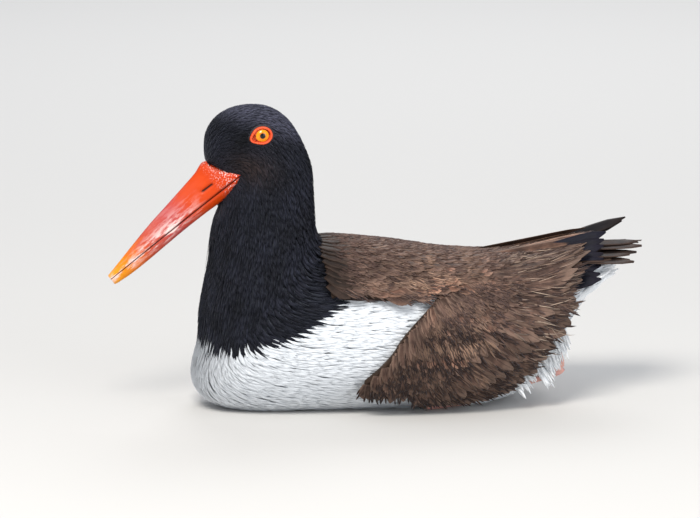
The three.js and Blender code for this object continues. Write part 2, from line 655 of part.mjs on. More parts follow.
addNode('torso', cutFrom(torsoPart, [partingSlab(NECK_START), floor, ...grownLegs]), materials.torso);
addNode('neck', cutFrom(neckPart, [partingSlab(NECK_START), partingSlab(HEAD_START)]), materials.black);
const headCuts = [partingSlab(HEAD_START), faceCut(), grownBill, ...grownEyes, ...grownLids];
addNode('head', cutFrom(headPart, headCuts), materials.black);
addNode('bill_upper', cutFrom(billUpper, [nostrilCut(LEFT), nostrilCut(RIGHT)]), materials.bill);
addNode('bill_lower', billLower, materials.bill);
addNode('tail', tailSolid().subtract(grownBody), materials.tail);
[LEFT, RIGHT].forEach((side, k) => {
  const name = side === LEFT ? 'left' : 'right';
  const wingCuts = [grownBody, floor, grownTail, ...grownLegs];
  addNode(`wing_${name}`, cutFrom(wingSolid(side), wingCuts), materials.brown);
  addNode(`leg_${name}`, legs[k].subtract(floor), materials.leg);
  addNode(`eye_${name}`, eyes[k], materials.iris);
  addNode(`eyelid_${name}`, lids[k].subtract(grownEyes[k]), materials.lid);
});

export default bird;
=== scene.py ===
# %% [markdown]
# # An oystercatcher at rest, in feathers
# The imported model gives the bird's solid form in its final place, in metres: bill towards +X, left side
# towards +Y, floor at Z = 0. This lesson dresses it: a skin, some tens of thousands of small feathers on
# it, the long feathers of wings and tail, the bill, the eyes and the legs. Shapes are worked out in
# millimetres with numpy, as functions of two parameters, and turned to metres as they become meshes.

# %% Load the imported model
import math
import bpy
import numpy as np
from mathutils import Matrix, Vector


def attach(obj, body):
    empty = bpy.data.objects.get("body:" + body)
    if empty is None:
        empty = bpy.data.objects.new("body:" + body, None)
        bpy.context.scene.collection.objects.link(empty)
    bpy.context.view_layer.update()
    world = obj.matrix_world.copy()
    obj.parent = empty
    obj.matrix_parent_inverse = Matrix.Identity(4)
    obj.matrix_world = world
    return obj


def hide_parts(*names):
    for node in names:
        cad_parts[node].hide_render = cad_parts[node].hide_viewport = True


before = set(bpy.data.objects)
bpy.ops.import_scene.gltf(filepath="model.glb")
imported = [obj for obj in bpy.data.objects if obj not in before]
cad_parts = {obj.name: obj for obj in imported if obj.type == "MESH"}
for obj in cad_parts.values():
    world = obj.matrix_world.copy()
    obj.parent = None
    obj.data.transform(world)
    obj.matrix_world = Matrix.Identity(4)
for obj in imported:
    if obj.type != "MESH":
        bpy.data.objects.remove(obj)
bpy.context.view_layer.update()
print("nodes:", sorted(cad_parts))

# %% [markdown]
# ## Small helpers
# A grid of points becomes a mesh in one call, so each later step is only its formula. Colours are given
# as sRGB hex values, as a colour chart shows them, and one function turns them to linear light.

# %% Helpers for meshes, colours and nodes
MM = 0.001
rng = np.random.default_rng(20)
LEFT = 1
RIGHT = -1


def linear(hex_code):
    """sRGB hex to linear: c / 12.92 below 0.04045, otherwise ((c + 0.055) / 1.055) to the power 2.4."""
    values = [int(hex_code[i:i + 2], 16) / 255 for i in (1, 3, 5)]
    return tuple(v / 12.92 if v <= 0.04045 else ((v + 0.055) / 1.055) ** 2.4 for v in values) + (1.0,)


def smooth(value, low, high):
    """0 below low, 1 above high, and 3s^2 - 2s^3 between them."""
    s = np.clip((np.asarray(value, float) - low) / (high - low), 0, 1)
    return s * s * (3 - 2 * s)


def blend(a, b, share):
    """a + (b - a) * share."""
    return a + (np.asarray(b) - a) * share


def add_mesh(name, points_mm, faces, material, uv=None, values=None, replaced=()):
    """A mesh object from points in mm and faces of equal length, with UV maps per point and attributes."""
    mesh = bpy.data.meshes.new(name)
    faces = np.asarray(faces)
    corners = faces.shape[1]
    mesh.vertices.add(len(points_mm))
    mesh.vertices.foreach_set("co", (np.asarray(points_mm, float) * MM).ravel())
    mesh.loops.add(faces.size)
    mesh.loops.foreach_set("vertex_index", faces.ravel().astype(np.int32))
    mesh.polygons.add(len(faces))
    mesh.polygons.foreach_set("loop_start", np.arange(0, faces.size, corners, dtype=np.int32))
    mesh.update(calc_edges=True)
    mesh.validate()
    for layer_name, layer in (uv or {}).items():
        data = mesh.uv_layers.new(name=layer_name).data
        data.foreach_set("uv", np.asarray(layer, float)[faces.ravel()].ravel())
    for value_name, value in (values or {}).items():
        value = np.asarray(value, float)
        if value.ndim == 2:
            colour = mesh.attributes.new(value_name, "FLOAT_COLOR", "POINT")
            colour.data.foreach_set("color", np.column_stack([value, np.ones(len(value))]).ravel())
        else:
            mesh.attributes.new(value_name, "FLOAT", "POINT").data.foreach_set("value", value)
    mesh.polygons.foreach_set("use_smooth", np.ones(len(mesh.polygons), bool))
    piece = bpy.data.objects.new(name, mesh)
    bpy.context.scene.collection.objects.link(piece)
    mesh.materials.append(material)
    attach(piece, "root")
    if replaced:
        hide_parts(*replaced)
    print(f"{name}: {len(points_mm)} points, {sum(len(p.vertices) - 2 for p in mesh.polygons)} triangles")
    return piece


def grid_faces(rows, columns, wrap=False, wrap_rows=False):
    """Quads of a grid of points in row order; wrap joins the last column to the first, wrap_rows the rows."""
    width = columns if wrap else columns - 1
    height = rows if wrap_rows else rows - 1
    row, column = np.meshgrid(np.arange(height), np.arange(width), indexing="ij")
    row_start = row * columns
    next_start = (row + 1) % rows * columns
    after = (column + 1) % columns
    quads = [row_start + column, row_start + after, next_start + after, next_start + column]
    return np.stack(quads, -1).reshape(-1, 4)


def facing_out(points, faces):
    """The faces, turned round if the volume they enclose, as a sum of p0 . (p1 x p2), is negative."""
    points = points - points.mean(axis=0)
    fans = [np.cross(points[faces[:, k]], points[faces[:, k + 1]]) for k in range(1, faces.shape[1] - 1)]
    volume = (points[faces[:, :1]] * np.stack(fans, 1)).sum()
    return faces[:, ::-1] if volume < 0 else faces


def capped_tube(rings):
    """A tube of rings as points and triangles, closed at each end by a fan round the end ring's middle."""
    count, sides = rings.shape[:2]
    flat = np.vstack([rings.reshape(-1, 3), rings[0].mean(axis=0), rings[-1].mean(axis=0)])
    quads = grid_faces(count, sides, wrap=True)
    start = np.arange(sides)
    after = (start + 1) % sides
    last = (count - 1) * sides
    first_fan = np.stack([after, start, np.full(sides, count * sides)], -1)
    last_fan = np.stack([start + last, after + last, np.full(sides, count * sides + 1)], -1)
    faces = np.vstack([quads[:, [0, 1, 2]], quads[:, [0, 2, 3]], first_fan, last_fan])
    return flat, facing_out(flat, faces)


def add_node(tree, kind, settings=None, links=None):
    """One shader node, with its properties or input values in settings and its input sockets in links."""
    node = tree.nodes.new(kind)
    for key, value in (settings or {}).items():
        if isinstance(key, str) and hasattr(node, key):
            setattr(node, key, value)
        else:
            node.inputs[key].default_value = value
    for key, socket in (links or {}).items():
        tree.links.new(socket, node.inputs[key])
    return node


def new_material(name, **shader_values):
    """A material with one Principled shader, and its tree and shader for more nodes."""
    material = bpy.data.materials.new(name)
    material.use_nodes = True
    tree = material.node_tree
    shader = tree.nodes["Principled BSDF"]
    for key, value in shader_values.items():
        shader.inputs[key.replace("_", " ")].default_value = value
    return material, tree, shader


print("mid grey as linear light:", round(linear("#808080")[0], 3))

# %% [markdown]
# ## The body's form
# A resting bird's torso, neck and head are one rounded form under the feathers. It could be sculpted or
# blended from balls, but a row of sections is easier to state in numbers. Each joins a point on the back line
# to a point on the belly line, fanning round from the tail root over the breast and up the neck to the face.
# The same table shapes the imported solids, so the skin follows them, and `grow` moves it in or out.

# %% Body sections
# back x, back z, belly x, belly z, half width, jaw narrowing
STATIONS = np.array([
    [-127, 85.5, -131, 80, 7, 0], [-118, 84.5, -122, 71.5, 15, 0], [-106, 83.5, -111, 59, 24, 0],
    [-90, 83, -99, 42, 34, 0], [-72, 82.8, -90, 23, 43, 0], [-52, 83.5, -76, 8, 50, 0],
    [-30, 84.3, -50, -1.5, 55, 0], [-8, 88.3, -15, -3, 57, 0], [12, 91.5, 22, -3, 56.5, 0],
    [28, 93.5, 56, -3, 54, 0], [39, 95.6, 87, -2.5, 50.5, 0], [45.2, 99.4, 110, 3.5, 47, 0],
    [47.2, 106, 119, 16, 43.5, 0], [47.6, 112, 115.5, 36, 40, 0], [47.8, 118, 114.8, 54, 36, 0],
    [48, 125, 112, 71, 31, 0], [48.2, 132, 109.3, 86, 27, 0], [49, 139.5, 108.3, 99, 24.2, 0],
    [51.8, 148, 106.5, 108.5, 22, 0.08], [56.8, 158.5, 104.5, 114, 20.6, 0.2],
    [63.8, 168.2, 103.6, 116, 19.6, 0.36], [73, 174.3, 103.6, 116.8, 18.6, 0.52],
    [84, 176.2, 103.8, 117.2, 17.4, 0.56], [95.5, 174.6, 104.1, 117.5, 15.4, 0.5],
    [104.6, 169.6, 104.5, 117.8, 13, 0.42], [110.3, 161.5, 105, 118, 10.8, 0.3],
    [111.6, 152.5, 105.5, 118.2, 9, 0.15], [110.8, 145.5, 106, 118.6, 7.8, 0.1],
])
LAST_STATION = len(STATIONS) - 1
BODY_FULLNESS = 0.87
JAW_FROM = -0.45
JAW_TO = 0.5
# The face is 55% narrower in front of the feather edge, where the bill takes over.
BILL_SQUEEZE = 0.55
LOWEST_SKIN = 0.25
# The feather edge round the bill's base, seen from the side, from the forehead to the chin.
FACE_EDGE = np.array([[112.5, 145.2], [107.4, 143.2], [103.3, 139.6], [98.6, 137], [92.8, 135.6],
                      [99.7, 126.4], [106.8, 119.1], [109, 112]])


def smooth_rows(rows, place):
    """A cubic through the rows at a fractional row number; each slope is half the step between neighbours."""
    place = np.clip(place, 0, len(rows) - 1)
    low = np.minimum(np.floor(place).astype(int), len(rows) - 2)
    s = (place - low)[..., None]
    pick = [rows[np.clip(low + k, 0, len(rows) - 1)] for k in (-1, 0, 1, 2)]
    start_slope = (pick[2] - pick[0]) / 2
    end_slope = (pick[3] - pick[1]) / 2
    return (pick[1] * (2 * s ** 3 - 3 * s ** 2 + 1) + start_slope * (s ** 3 - 2 * s ** 2 + s)
            + pick[2] * (3 * s ** 2 - 2 * s ** 3) + end_slope * (s ** 3 - s ** 2))


def face_front(x, z):
    """How far in mm a side-view point lies ahead of the bill's feather edge: x - edge x, and -20 off it."""
    edge_x = np.interp(-z, -FACE_EDGE[:, 1], FACE_EDGE[:, 0])
    off = np.clip(smooth(z, 144, 147) + smooth(-z, -119, -116), 0, 1)
    return (x - edge_x) * (1 - off) - 20 * off


def body_point(station, turn, grow=0.0):
    """middle + reach * |cos|^f + across * |sin|^f, with f the fullness; the jaw narrows low on the head."""
    row = smooth_rows(STATIONS, station)
    back = row[..., 0:2]
    belly = row[..., 2:4]
    middle = (back + belly) / 2
    reach = back - middle
    long = np.linalg.norm(reach, axis=-1)
    unit = reach / np.maximum(long, 1e-6)[..., None]
    c = np.cos(2 * np.pi * turn)
    s = np.sin(2 * np.pi * turn)
    along = np.sign(c) * np.abs(c) ** BODY_FULLNESS * (long + grow)
    narrow = 1 - row[..., 5] * smooth(-c, JAW_FROM, JAW_TO)
    across = np.sign(s) * np.abs(s) ** BODY_FULLNESS * (row[..., 4] * narrow + grow)
    side_view = middle + unit * along[..., None]
    squeeze = 1 - BILL_SQUEEZE * smooth(face_front(side_view[..., 0], side_view[..., 1]), -0.4, 1.6)
    z = np.maximum(side_view[..., 1], LOWEST_SKIN)
    return np.stack([side_view[..., 0], across * squeeze, z], -1)


print("crown height, mm:", round(float(body_point(22.0, 0.0)[2]), 1))

# %% [markdown]
# ## Markings
# A black hood with a ragged lower edge, white below it, sooty brown from the shoulders back. The colours
# could be painted on an image, but one function of place is chosen: both the skin and every small feather
# take theirs from it, so they agree, and the hood's edge is as ragged as the feathers that carry it.

# %% Plumage colours by place
HOOD_BLACK = np.array(linear("#101118")[:3])
HOOD_SHEEN = np.array(linear("#1f212c")[:3])
# Painted sheen: a lighter blue-grey laid on the top of the crown, where the light falls.
CROWN_PAINTED_SHEEN = np.array(linear("#454655")[:3])
FACE_BROWN = np.array(linear("#2f2524")[:3])
# Painted shadow: near black for the lore in front of the eye.
LORE_PAINTED_SHADOW = np.array(linear("#050507")[:3])
BELLY_WHITE = np.array(linear("#dde2e8")[:3])
BACK_BROWN = np.array(linear("#54413a")[:3])
# Lower edge of the hood, as height over x
HOOD_EDGE_X = [40, 46, 51.7, 58, 64.3, 72.9, 85, 98, 125]
HOOD_EDGE_Z = [74, 68, 62.5, 58.5, 56, 50.5, 46, 43.5, 42.5]


def ripple(points, size):
    """A smooth wandering value of about -1 to 1: sums of sines of place over the size in mm."""
    p = points / size
    return (np.sin(p[..., 0] * 2.1 + 1.3 * np.sin(p[..., 2] * 1.7)) + np.sin(p[..., 2] * 2.9 + 2 * p[..., 1])
            + np.sin(p[..., 1] * 3.7 - p[..., 0] * 1.9)) / 3


def markings(points):
    """Colour of the plumage at points in mm: white, then the hood above its edge, then brown behind it. The
    hood carries painted sheen on the crown and painted shadow in front of the eye.
    """
    x = points[..., 0]
    z = points[..., 2]
    ragged = 1.1 * ripple(points, 6.0) + 0.9 * ripple(points[..., ::-1], 1.3)
    edge = np.interp(x, HOOD_EDGE_X, HOOD_EDGE_Z) + ragged
    black = smooth(z - edge, -0.4, 0.4) * smooth(x, 20, 24)
    behind = 1 - smooth(x + 2 * ripple(points, 7.0), 36, 50)
    brown = smooth(z - (79 + 2.5 * smooth(-x, 60, 90)), 0, 2) * behind
    upper = smooth(z, 67, 70) * behind * smooth(x, -8, 4)
    brown = np.maximum(brown, upper)[..., None]
    shade = (0.5 + 0.5 * ripple(points, 9.0))[..., None]
    hood = blend(HOOD_BLACK, HOOD_SHEEN, shade)
    # Painted sheen: the hood turns lighter and bluer towards the top of the crown.
    crown = smooth(z + 0.25 * (80 - x), 158, 172) * smooth(z, 140, 150)
    hood = blend(hood, CROWN_PAINTED_SHEEN, crown[..., None])
    face = np.exp(-((x - 88) / 13) ** 2 - ((z - 143) / 8) ** 2)
    hood = blend(hood, FACE_BROWN, 0.85 * face[..., None])
    # Painted shadow: the lore in front of the eye darkens nearly to black.
    lore_shadow = np.exp(-((x - 93.5) / 6) ** 2 - ((z - 157 + 0.5 * (x - 93.5)) / 6.5) ** 2)
    hood = blend(hood, LORE_PAINTED_SHADOW, 0.95 * lore_shadow[..., None])
    colour = blend(BELLY_WHITE, hood, black[..., None])
    return blend(colour, BACK_BROWN * (0.75 + 0.5 * shade), brown)


print("crown, linear light:", markings(body_point(np.array([22.0]), np.array([0.0]))).round(3))

# %% [markdown]
# Feathers are keratin, matt because their barbs scatter light, with a soft sheen at a grazing angle. The
# colour comes with the mesh, and fine streaks run along each feather, where the barbs part. Real barbs stand
# 0.1 mm apart, too fine to show here, so a streak is drawn as a clump of barbs, some 26 to a feather's map.

# %% Material of the small feathers
BARB_STREAKS = 26.0


def plumage_material(name, colour_name, sheen, rough):
    """Keratin barbs: the mesh's colour times fine streaks across the feather's own width."""
    material, tree, shader = new_material(name, Roughness=rough, Sheen_Weight=sheen, Sheen_Roughness=0.4,
                                          Sheen_Tint=linear("#aab4c8"), Specular_IOR_Level=0.14)
    colour = add_node(tree, "ShaderNodeAttribute", {"attribute_name": colour_name})
    vane = add_node(tree, "ShaderNodeUVMap", {"uv_map": "Vane"})
    stretch = add_node(tree, "ShaderNodeMapping", {"Scale": (BARB_STREAKS, 2.0, 1.0)},
                       {"Vector": vane.outputs[0]})
    streak = add_node(tree, "ShaderNodeTexNoise", {"Scale": 1.0, "Detail": 2.0},
                      {"Vector": stretch.outputs[0]})
    level = add_node(tree, "ShaderNodeMapRange", {"To Min": 0.9, "To Max": 1.08},
                     {"Value": streak.outputs[0]})
    mixed = add_node(tree, "ShaderNodeMix", {"data_type": "RGBA", "blend_type": "MULTIPLY", 0: 1.0},
                     {6: colour.outputs["Color"], 7: level.outputs[0]})
    tree.links.new(mixed.outputs[2], shader.inputs["Base Color"])
    bump = add_node(tree, "ShaderNodeBump", {"Strength": 0.12, "Distance": 0.0003},
                    {"Height": streak.outputs[0]})
    tree.links.new(bump.outputs[0], shader.inputs["Normal"])
    return material


contour_plumage = plumage_material("Contour_feathers_matt_keratin", "Plumage", 0.12, 0.72)
print(contour_plumage.name, "has", len(contour_plumage.node_tree.nodes), "nodes")

# %% [markdown]
# ## The skin
# One closed surface stands for torso, neck and head, so no seam shows between them. It lies a little inside
# the outline, because the feathers lie on top of it. Its unwrap is its own grid: station by turn.

# %% Skin under the feathers
SKIN_RINGS = 190
SKIN_SIDES = 150
SKIN_STREAKS = 40


def coat_depth(station):
    """Depth of the small feathers in mm: 3 on the body, thinning to 1.1 on the face."""
    return blend(3.0, 1.1, smooth(station, 13, 21))


def skin_uv_at(station, turn):
    """The body's unwrap: turn across and station up, in the lower 60% of the square."""
    return np.stack([turn * 0.98 + 0.01, station / LAST_STATION * 0.6 + 0.01], -1)


ring_station = np.linspace(0, LAST_STATION, SKIN_RINGS)[:, None]
ring_turn = (np.arange(SKIN_SIDES) / SKIN_SIDES)[None, :]
station_grid, turn_grid = np.broadcast_arrays(ring_station, ring_turn)
skin_points, skin_faces = capped_tube(body_point(station_grid, turn_grid, -coat_depth(station_grid)))
skin_uv = np.vstack([skin_uv_at(station_grid, turn_grid).reshape(-1, 2), [[0.5, 0.005]], [[0.5, 0.62]]])
add_mesh("body_skin", skin_points, skin_faces, contour_plumage,
         uv={"OFBake": skin_uv, "Vane": skin_uv * SKIN_STREAKS}, values={"Plumage": markings(skin_points)},
         replaced=("torso", "neck", "head"))

# %% [markdown]
# ## The small feathers
# The real coat is thousands of short feathers whose loose barbs overlap like thatch. Hair curves could stand
# for them, but the export wants closed surfaces, so each is a tapered tuft of three sides: two low edges and
# a ridge. It is laid in the skin's own parameters, so it hugs the form: a step of a mm along the lie or
# across it is turned to steps of station and turn by the surface's own stretch. Roots are spread evenly by
# area, because roots set evenly by station would crowd where the sections lie close.

# %% Roots spread on the body
TUFT_SHARES = np.array([0.0, 0.3, 0.68, 1.0])
TUFT_WIDTHS = np.array([0.55, 1.0, 0.8, 0.0])
# Of a tuft's ten points: place across, -1 and 1 at the edges and 0 on the ridge, and place along.
TUFT_ACROSS = np.array([-1, 1, 0, -1, 1, 0, -1, 1, 0, 0.0])
TUFT_RUN = np.repeat(TUFT_SHARES, 3)[:10]
TUFT_FACES = np.array([[0, 3, 5], [0, 5, 2], [2, 5, 4], [2, 4, 1], [1, 4, 3], [1, 3, 0],
                       [3, 6, 8], [3, 8, 5], [5, 8, 7], [5, 7, 4], [4, 7, 6], [4, 6, 3],
                       [6, 9, 8], [8, 9, 7], [7, 9, 6], [0, 2, 1]])
# Each feather bakes to a patch this wide, as a share of the unwrap.
BAKE_PATCH = 0.003
ROOT_STEP = 0.04
ROOT_TURNS = 900
WHITE_SOFTNESS = 0.65


def surface_stretch(station, turn, grow):
    """Squared mm for a step of station, its dot product with one of turn, and the area, by differences."""
    step = 0.02
    small = 0.002
    by_station = body_point(station + step, turn, grow) - body_point(station - step, turn, grow)
    by_turn = body_point(station, turn + small, grow) - body_point(station, turn - small, grow)
    by_station = by_station / (2 * step)
    by_turn = by_turn / (2 * small)
    e = np.maximum((by_station ** 2).sum(-1), 0.05)
    f = (by_station * by_turn).sum(-1)
    g = (by_turn ** 2).sum(-1)
    return e, f, np.sqrt(np.maximum(e * g - f * f, 1e-3))


def spread_roots(station_from, station_to, density):
    """Roots at even spacing: the expected count is summed round a thin ring, and a whole step is a root."""
    rows = int((station_to - station_from) / ROOT_STEP)
    station = np.linspace(station_from, station_to, rows)[:, None]
    turn = np.linspace(0, 1, ROOT_TURNS, endpoint=False)[None, :]
    station, turn = np.broadcast_arrays(station, turn)
    area = surface_stretch(station, turn, 0.0)[2] * (station_to - station_from) / rows / ROOT_TURNS
    expected = area * density(body_point(station, turn), station)
    steps = np.floor(np.cumsum(expected, axis=1) + rng.random((rows, 1)))
    chosen = np.diff(steps, axis=1, prepend=0) > 0
    jitter = rng.random((2, chosen.sum())) - 0.5
    return station[chosen] + jitter[0] * ROOT_STEP, turn[chosen] + jitter[1] / ROOT_TURNS


print("area of one station by one turn at the breast, mm2:", surface_stretch(11.0, 0.4, 0.0)[2].round(1))

# %% [markdown]
# A tuft is ten points and sixteen triangles, few enough to lay tens of thousands. All tufts of a run are
# worked out at once, as arrays. The lie runs from the bill back over the head, down the neck and back along
# the body. White down scatters light so much that single barbs cast hardly any shade, so the white tufts'
# normals are turned most of the way to the body's own.

# %% Tufts laid on the body
def tuft_points(lines):
    """Three lines of four points each, as ten points to a tuft: three rings of three, then the tip."""
    rings = np.stack(lines, 2)
    return np.concatenate([rings[:, :3].reshape(len(rings), 9, 3), rings[:, 3, 2][:, None]], 1)


def tuft_faces(count):
    """The faces of one tuft, repeated for each tuft's ten points."""
    return (TUFT_FACES[None] + 10 * np.arange(count)[:, None, None]).reshape(-1, 3)


def tuft_maps(count):
    """Each tuft's own streak map, moved to a random place, and its patch of the bake unwrap."""
    streaks = np.stack([TUFT_ACROSS, TUFT_RUN], -1)[None] + rng.random((count, 1, 2)) * 9.0
    patch = np.stack([(TUFT_ACROSS + 1) / 2, TUFT_RUN], -1)[None] * BAKE_PATCH
    return streaks, patch


def whiteness(colour):
    """0 for dark plumage and 1 for white, from the sum of the three channels."""
    return smooth(colour.sum(1), 0.8, 1.8)


def soften(piece, outward, share):
    """The mesh's own normals turned by a share towards the body's, so that white down shades softly."""
    own = np.empty(len(piece.data.vertices) * 3, np.float32)
    piece.data.vertex_normals.foreach_get("vector", own)
    outward = outward / np.maximum(np.linalg.norm(outward, axis=1), 1e-6)[:, None]
    mixed = blend(own.reshape(-1, 3), outward, share[:, None])
    piece.data.normals_split_custom_set_from_vertices(mixed)


def lay_tufts(name, station, turn, length, width, depth, stand, sway, colour):
    """Tufts from roots depth mm under the outline to tips at stand mm below it, swayed by an angle."""
    count = len(station)
    e, f, root_area = surface_stretch(station, turn, -1.0)
    share = TUFT_SHARES[None, :]
    along = share * length[:, None]
    sideways = np.sin(sway)[:, None] * along
    along = np.cos(sway)[:, None] * along
    half = TUFT_WIDTHS[None, :] * width[:, None] / 2
    lift = -blend(depth[:, None], stand[:, None], share ** 0.7)
    sides = []
    outs = []
    for edge, rise in ((-1, 0.0), (1, 0.0), (0, 0.26)):
        b = sideways + edge * half
        step_station = -along / np.sqrt(e)[:, None] - b * (f / (np.sqrt(e) * root_area))[:, None]
        step_turn = b * (np.sqrt(e) / root_area)[:, None]
        step_station = np.clip(step_station, -5, 5)
        step_turn = np.clip(step_turn, -0.12, 0.12)
        at = np.clip(station[:, None] + step_station, 0, LAST_STATION)
        height = lift + rise * half / np.maximum(half.max(), 1e-6) * np.minimum(width[:, None], 1.6)
        sides.append(body_point(at, turn[:, None] + step_turn, height))
        outs.append(body_point(at, turn[:, None] + step_turn, height + 1.0) - sides[-1])
    points = tuft_points(sides)
    outward = tuft_points(outs)
    centred = points - points.mean(axis=1, keepdims=True)
    a, b, c = [centred[:, TUFT_FACES[:, k]] for k in range(3)]
    volume = (a * np.cross(b, c)).sum((1, 2))
    kept = volume * np.sign(volume.sum()) > 0
    print(f"{name}: {(~kept).sum()} tufts folded over by a tight curve are left out")
    streaks, patch = tuft_maps(count)
    bake = skin_uv_at(station, turn % 1)[:, None] + patch
    spread = blend(0.8, 0.06, smooth(colour.sum(1), 0.6, 1.6))[:, None, None]
    tone = colour[:, None, :] * (1 + spread * (rng.random((count, 1, 1)) - 0.5))
    tone = tone * (0.94 + 0.08 * TUFT_RUN[None, :, None])
    points = points[kept].reshape(-1, 3)
    piece = add_mesh(name, points, facing_out(points, tuft_faces(kept.sum())), contour_plumage,
                     uv={"OFBake": bake[kept].reshape(-1, 2), "Vane": streaks[kept].reshape(-1, 2)},
                     values={"Plumage": tone[kept].reshape(-1, 3)})
    softness = WHITE_SOFTNESS * whiteness(colour[kept])
    soften(piece, outward[kept].reshape(-1, 3), np.repeat(softness, 10))


# %% [markdown]
# No feather grows on the ring round the eye or on the bill, and none is laid where the folded wing or the
# mantle would hide it, because hidden feathers cost triangles and show nothing.

# %% Bare and covered places
EYE = np.array([80.4, 12.6, 160.2])
EYE_RADIUS = 5.4
BARE_RADIUS = 4.6


def bare_patch(points):
    """True in an oval round each eye, in a smaller one before it, and in front of the bill's feather edge."""
    near_eye = np.hypot((points[..., 0] - EYE[0] - 0.3) / 1.18, points[..., 2] - EYE[2] + 0.2) < BARE_RADIUS
    near_eye |= np.hypot((points[..., 0] - EYE[0] - 6.5) / 4.6, (points[..., 2] - EYE[2] + 1.8) / 2.9) < 1
    near_eye &= np.abs(points[..., 1]) > 10
    return near_eye | (face_front(points[..., 0], points[..., 2]) > 0.3)


def covered_by_wing(points):
    """True on the flank well under the wing, where no small feather would show."""
    x = points[..., 0]
    z = points[..., 2]
    top = np.interp(x, [-112, -90, -20, -9, 33], [83, 83, 86, 66, 18])
    low = np.interp(x, [-112, -96, -66, -34, 4, 33], [80, 66, 30, 14, 14, 18])
    mantle = (x < 47) & (x > -30) & (z > 74) & (z < 99)
    flank = (x > -112) & (x < 30) & (z < top) & (z > low) & (np.abs(points[..., 1]) > 22)
    return flank | mantle


# %% [markdown]
# The coat is laid in four runs. Feathers are about 3 mm long and finest on the face, 6 to 12 mm on neck and
# breast, and long and broad towards the tail. Sizes change smoothly along the body, so no step shows.

# %% The coat
def changing(first, last, station_from, station_to):
    """A size in mm as a function of station: the first before station_from, the last past station_to."""
    return lambda station: blend(first, last, smooth(station, station_from, station_to))


def even(size):
    """The same size in mm at every station."""
    return lambda station: np.full(np.shape(station), size)


def make_coat(name, first, last, spacing, length, width, sway=0.22):
    """A run of the coat between two stations, with spacing, length and width as functions of station."""
    def density(points, station):
        rate = np.where(bare_patch(points) | covered_by_wing(points), 0, 1.0 / spacing(station) ** 2)
        return np.where(points[..., 2] < 0.6, 0.25, 1.0) * rate
    station, turn = spread_roots(first, last, density)
    count = len(station)
    vary = 0.8 + 0.4 * rng.random(count)
    root = body_point(station, turn)
    colour = markings(root)
    white = whiteness(colour)
    depth = (coat_depth(station) + 0.2) * blend(1.0, 0.62, white)
    wide = width(station) * vary * blend(1.0, 0.8, white)
    stand = depth * 0.12 * rng.random(count)
    angle = sway * (rng.random(count) - 0.5) * 2
    lay_tufts(name, station, turn, length(station) * vary, wide, depth, stand, angle, colour)


make_coat("head_hood_feathers", 18.5, 27, changing(1.32, 0.96, 19, 24),
          changing(6.0, 2.8, 19, 25), changing(1.1, 0.75, 19, 24))
make_coat("neck_hood_feathers", 13.2, 18.6, changing(1.75, 1.35, 13, 18.5),
          changing(9.5, 6.5, 13, 18.5), changing(1.5, 1.1, 13, 18.5), 0.12)
make_coat("breast_feathers", 8.8, 13.3, even(1.95), even(12.0), even(1.9), 0.14)
make_coat("rear_body_feathers", 0.2, 8.9, even(2.4), changing(24.0, 14.0, 2, 7), even(2.4),
          0.16)

# %% [markdown]
# ## The wing sheet
# Folded wings and scapulars lie in a sheet over the back and flank. Feathers could be set one by one in
# space, but in a sheet a row of them is a line between two places, and it keeps them off the body. The sheet
# is a superellipse at each x, between a crest and a foot, and a place in it is an x and an angle: 0 at the
# crest, 90 at the side.

# %% The sheet that the long feathers lie in
# x, crest, foot, half width
SHEET = np.array([[50, 96.5, 0, 53], [28, 94.4, -6, 60], [0, 90.8, -8, 62], [-30, 85.8, -7, 61],
                  [-60, 84.2, -2, 56], [-90, 87.6, 12, 46.5], [-118, 92.5, 40, 34], [-150, 97, 60, 22]])
LOWEST_FEATHER = 0.4
sheet_table = smooth_rows(SHEET, np.linspace(0, len(SHEET) - 1, 400))[::-1]


def sheet_fields(x):
    """Crest, foot and half width at x."""
    return [np.interp(x, sheet_table[:, 0], sheet_table[:, k]) for k in (1, 2, 3)]


def sheet_girth(x):
    """Length in mm of one degree of the sheet at x, as on a circle of the mean radius."""
    crest, foot, half = sheet_fields(x)
    return np.pi * (crest - foot + 2 * half) / 4 / 180


def sheet_spot(x, angle):
    """middle + |cos|^f * half height, |sin|^f * half width."""
    crest, foot, half = sheet_fields(x)
    c = np.cos(np.radians(angle))
    s = np.sin(np.radians(angle))
    z = (crest + foot) / 2 + np.sign(c) * np.abs(c) ** BODY_FULLNESS * (crest - foot) / 2
    return np.stack([x, np.sign(s) * np.abs(s) ** BODY_FULLNESS * half, z], -1)


def sheet_point(x, angle, lift, side):
    """A sheet point plus lift times the unit normal, the cross product of two steps, on the left or right."""
    x, angle, lift = np.broadcast_arrays(x, angle, lift)
    spot = sheet_spot(x, angle)
    along = sheet_spot(x + 1.0, angle) - sheet_spot(x - 1.0, angle)
    down = sheet_spot(x, angle + 1.0) - sheet_spot(x, angle - 1.0)
    out = np.cross(along, down)
    out /= np.maximum(np.linalg.norm(out, axis=-1), 1e-9)[..., None]
    radial = spot * [0, 1, 1] - np.array([0, 0, 40.0])
    out *= np.sign((out * radial).sum(-1) + 1e-9)[..., None]
    spot = spot + out * lift[..., None]
    spot[..., 1] *= side
    spot[..., 2] = np.maximum(spot[..., 2], LOWEST_FEATHER)
    return spot


def sheet_angle(x, z):
    """The angle at which a side view sees height z: the sheet's formula turned round."""
    crest, foot, half = sheet_fields(x)
    share = np.clip((2 * np.asarray(z) - crest - foot) / (crest - foot), -1, 1)
    return np.degrees(np.arccos(np.sign(share) * np.abs(share) ** (1 / BODY_FULLNESS)))


def place_between(line, share):
    """Points on a smooth line through a list of [x, z] side-view places, as x and angle, at shares of it."""
    rows = np.array([[x, sheet_angle(x, z)] for x, z in line], float)
    spots = smooth_rows(rows, np.asarray(share) * (len(rows) - 1))
    return spots[..., 0], spots[..., 1]


print("sheet half width at x = -30 mm:", round(float(sheet_fields(-30.0)[2]), 1))

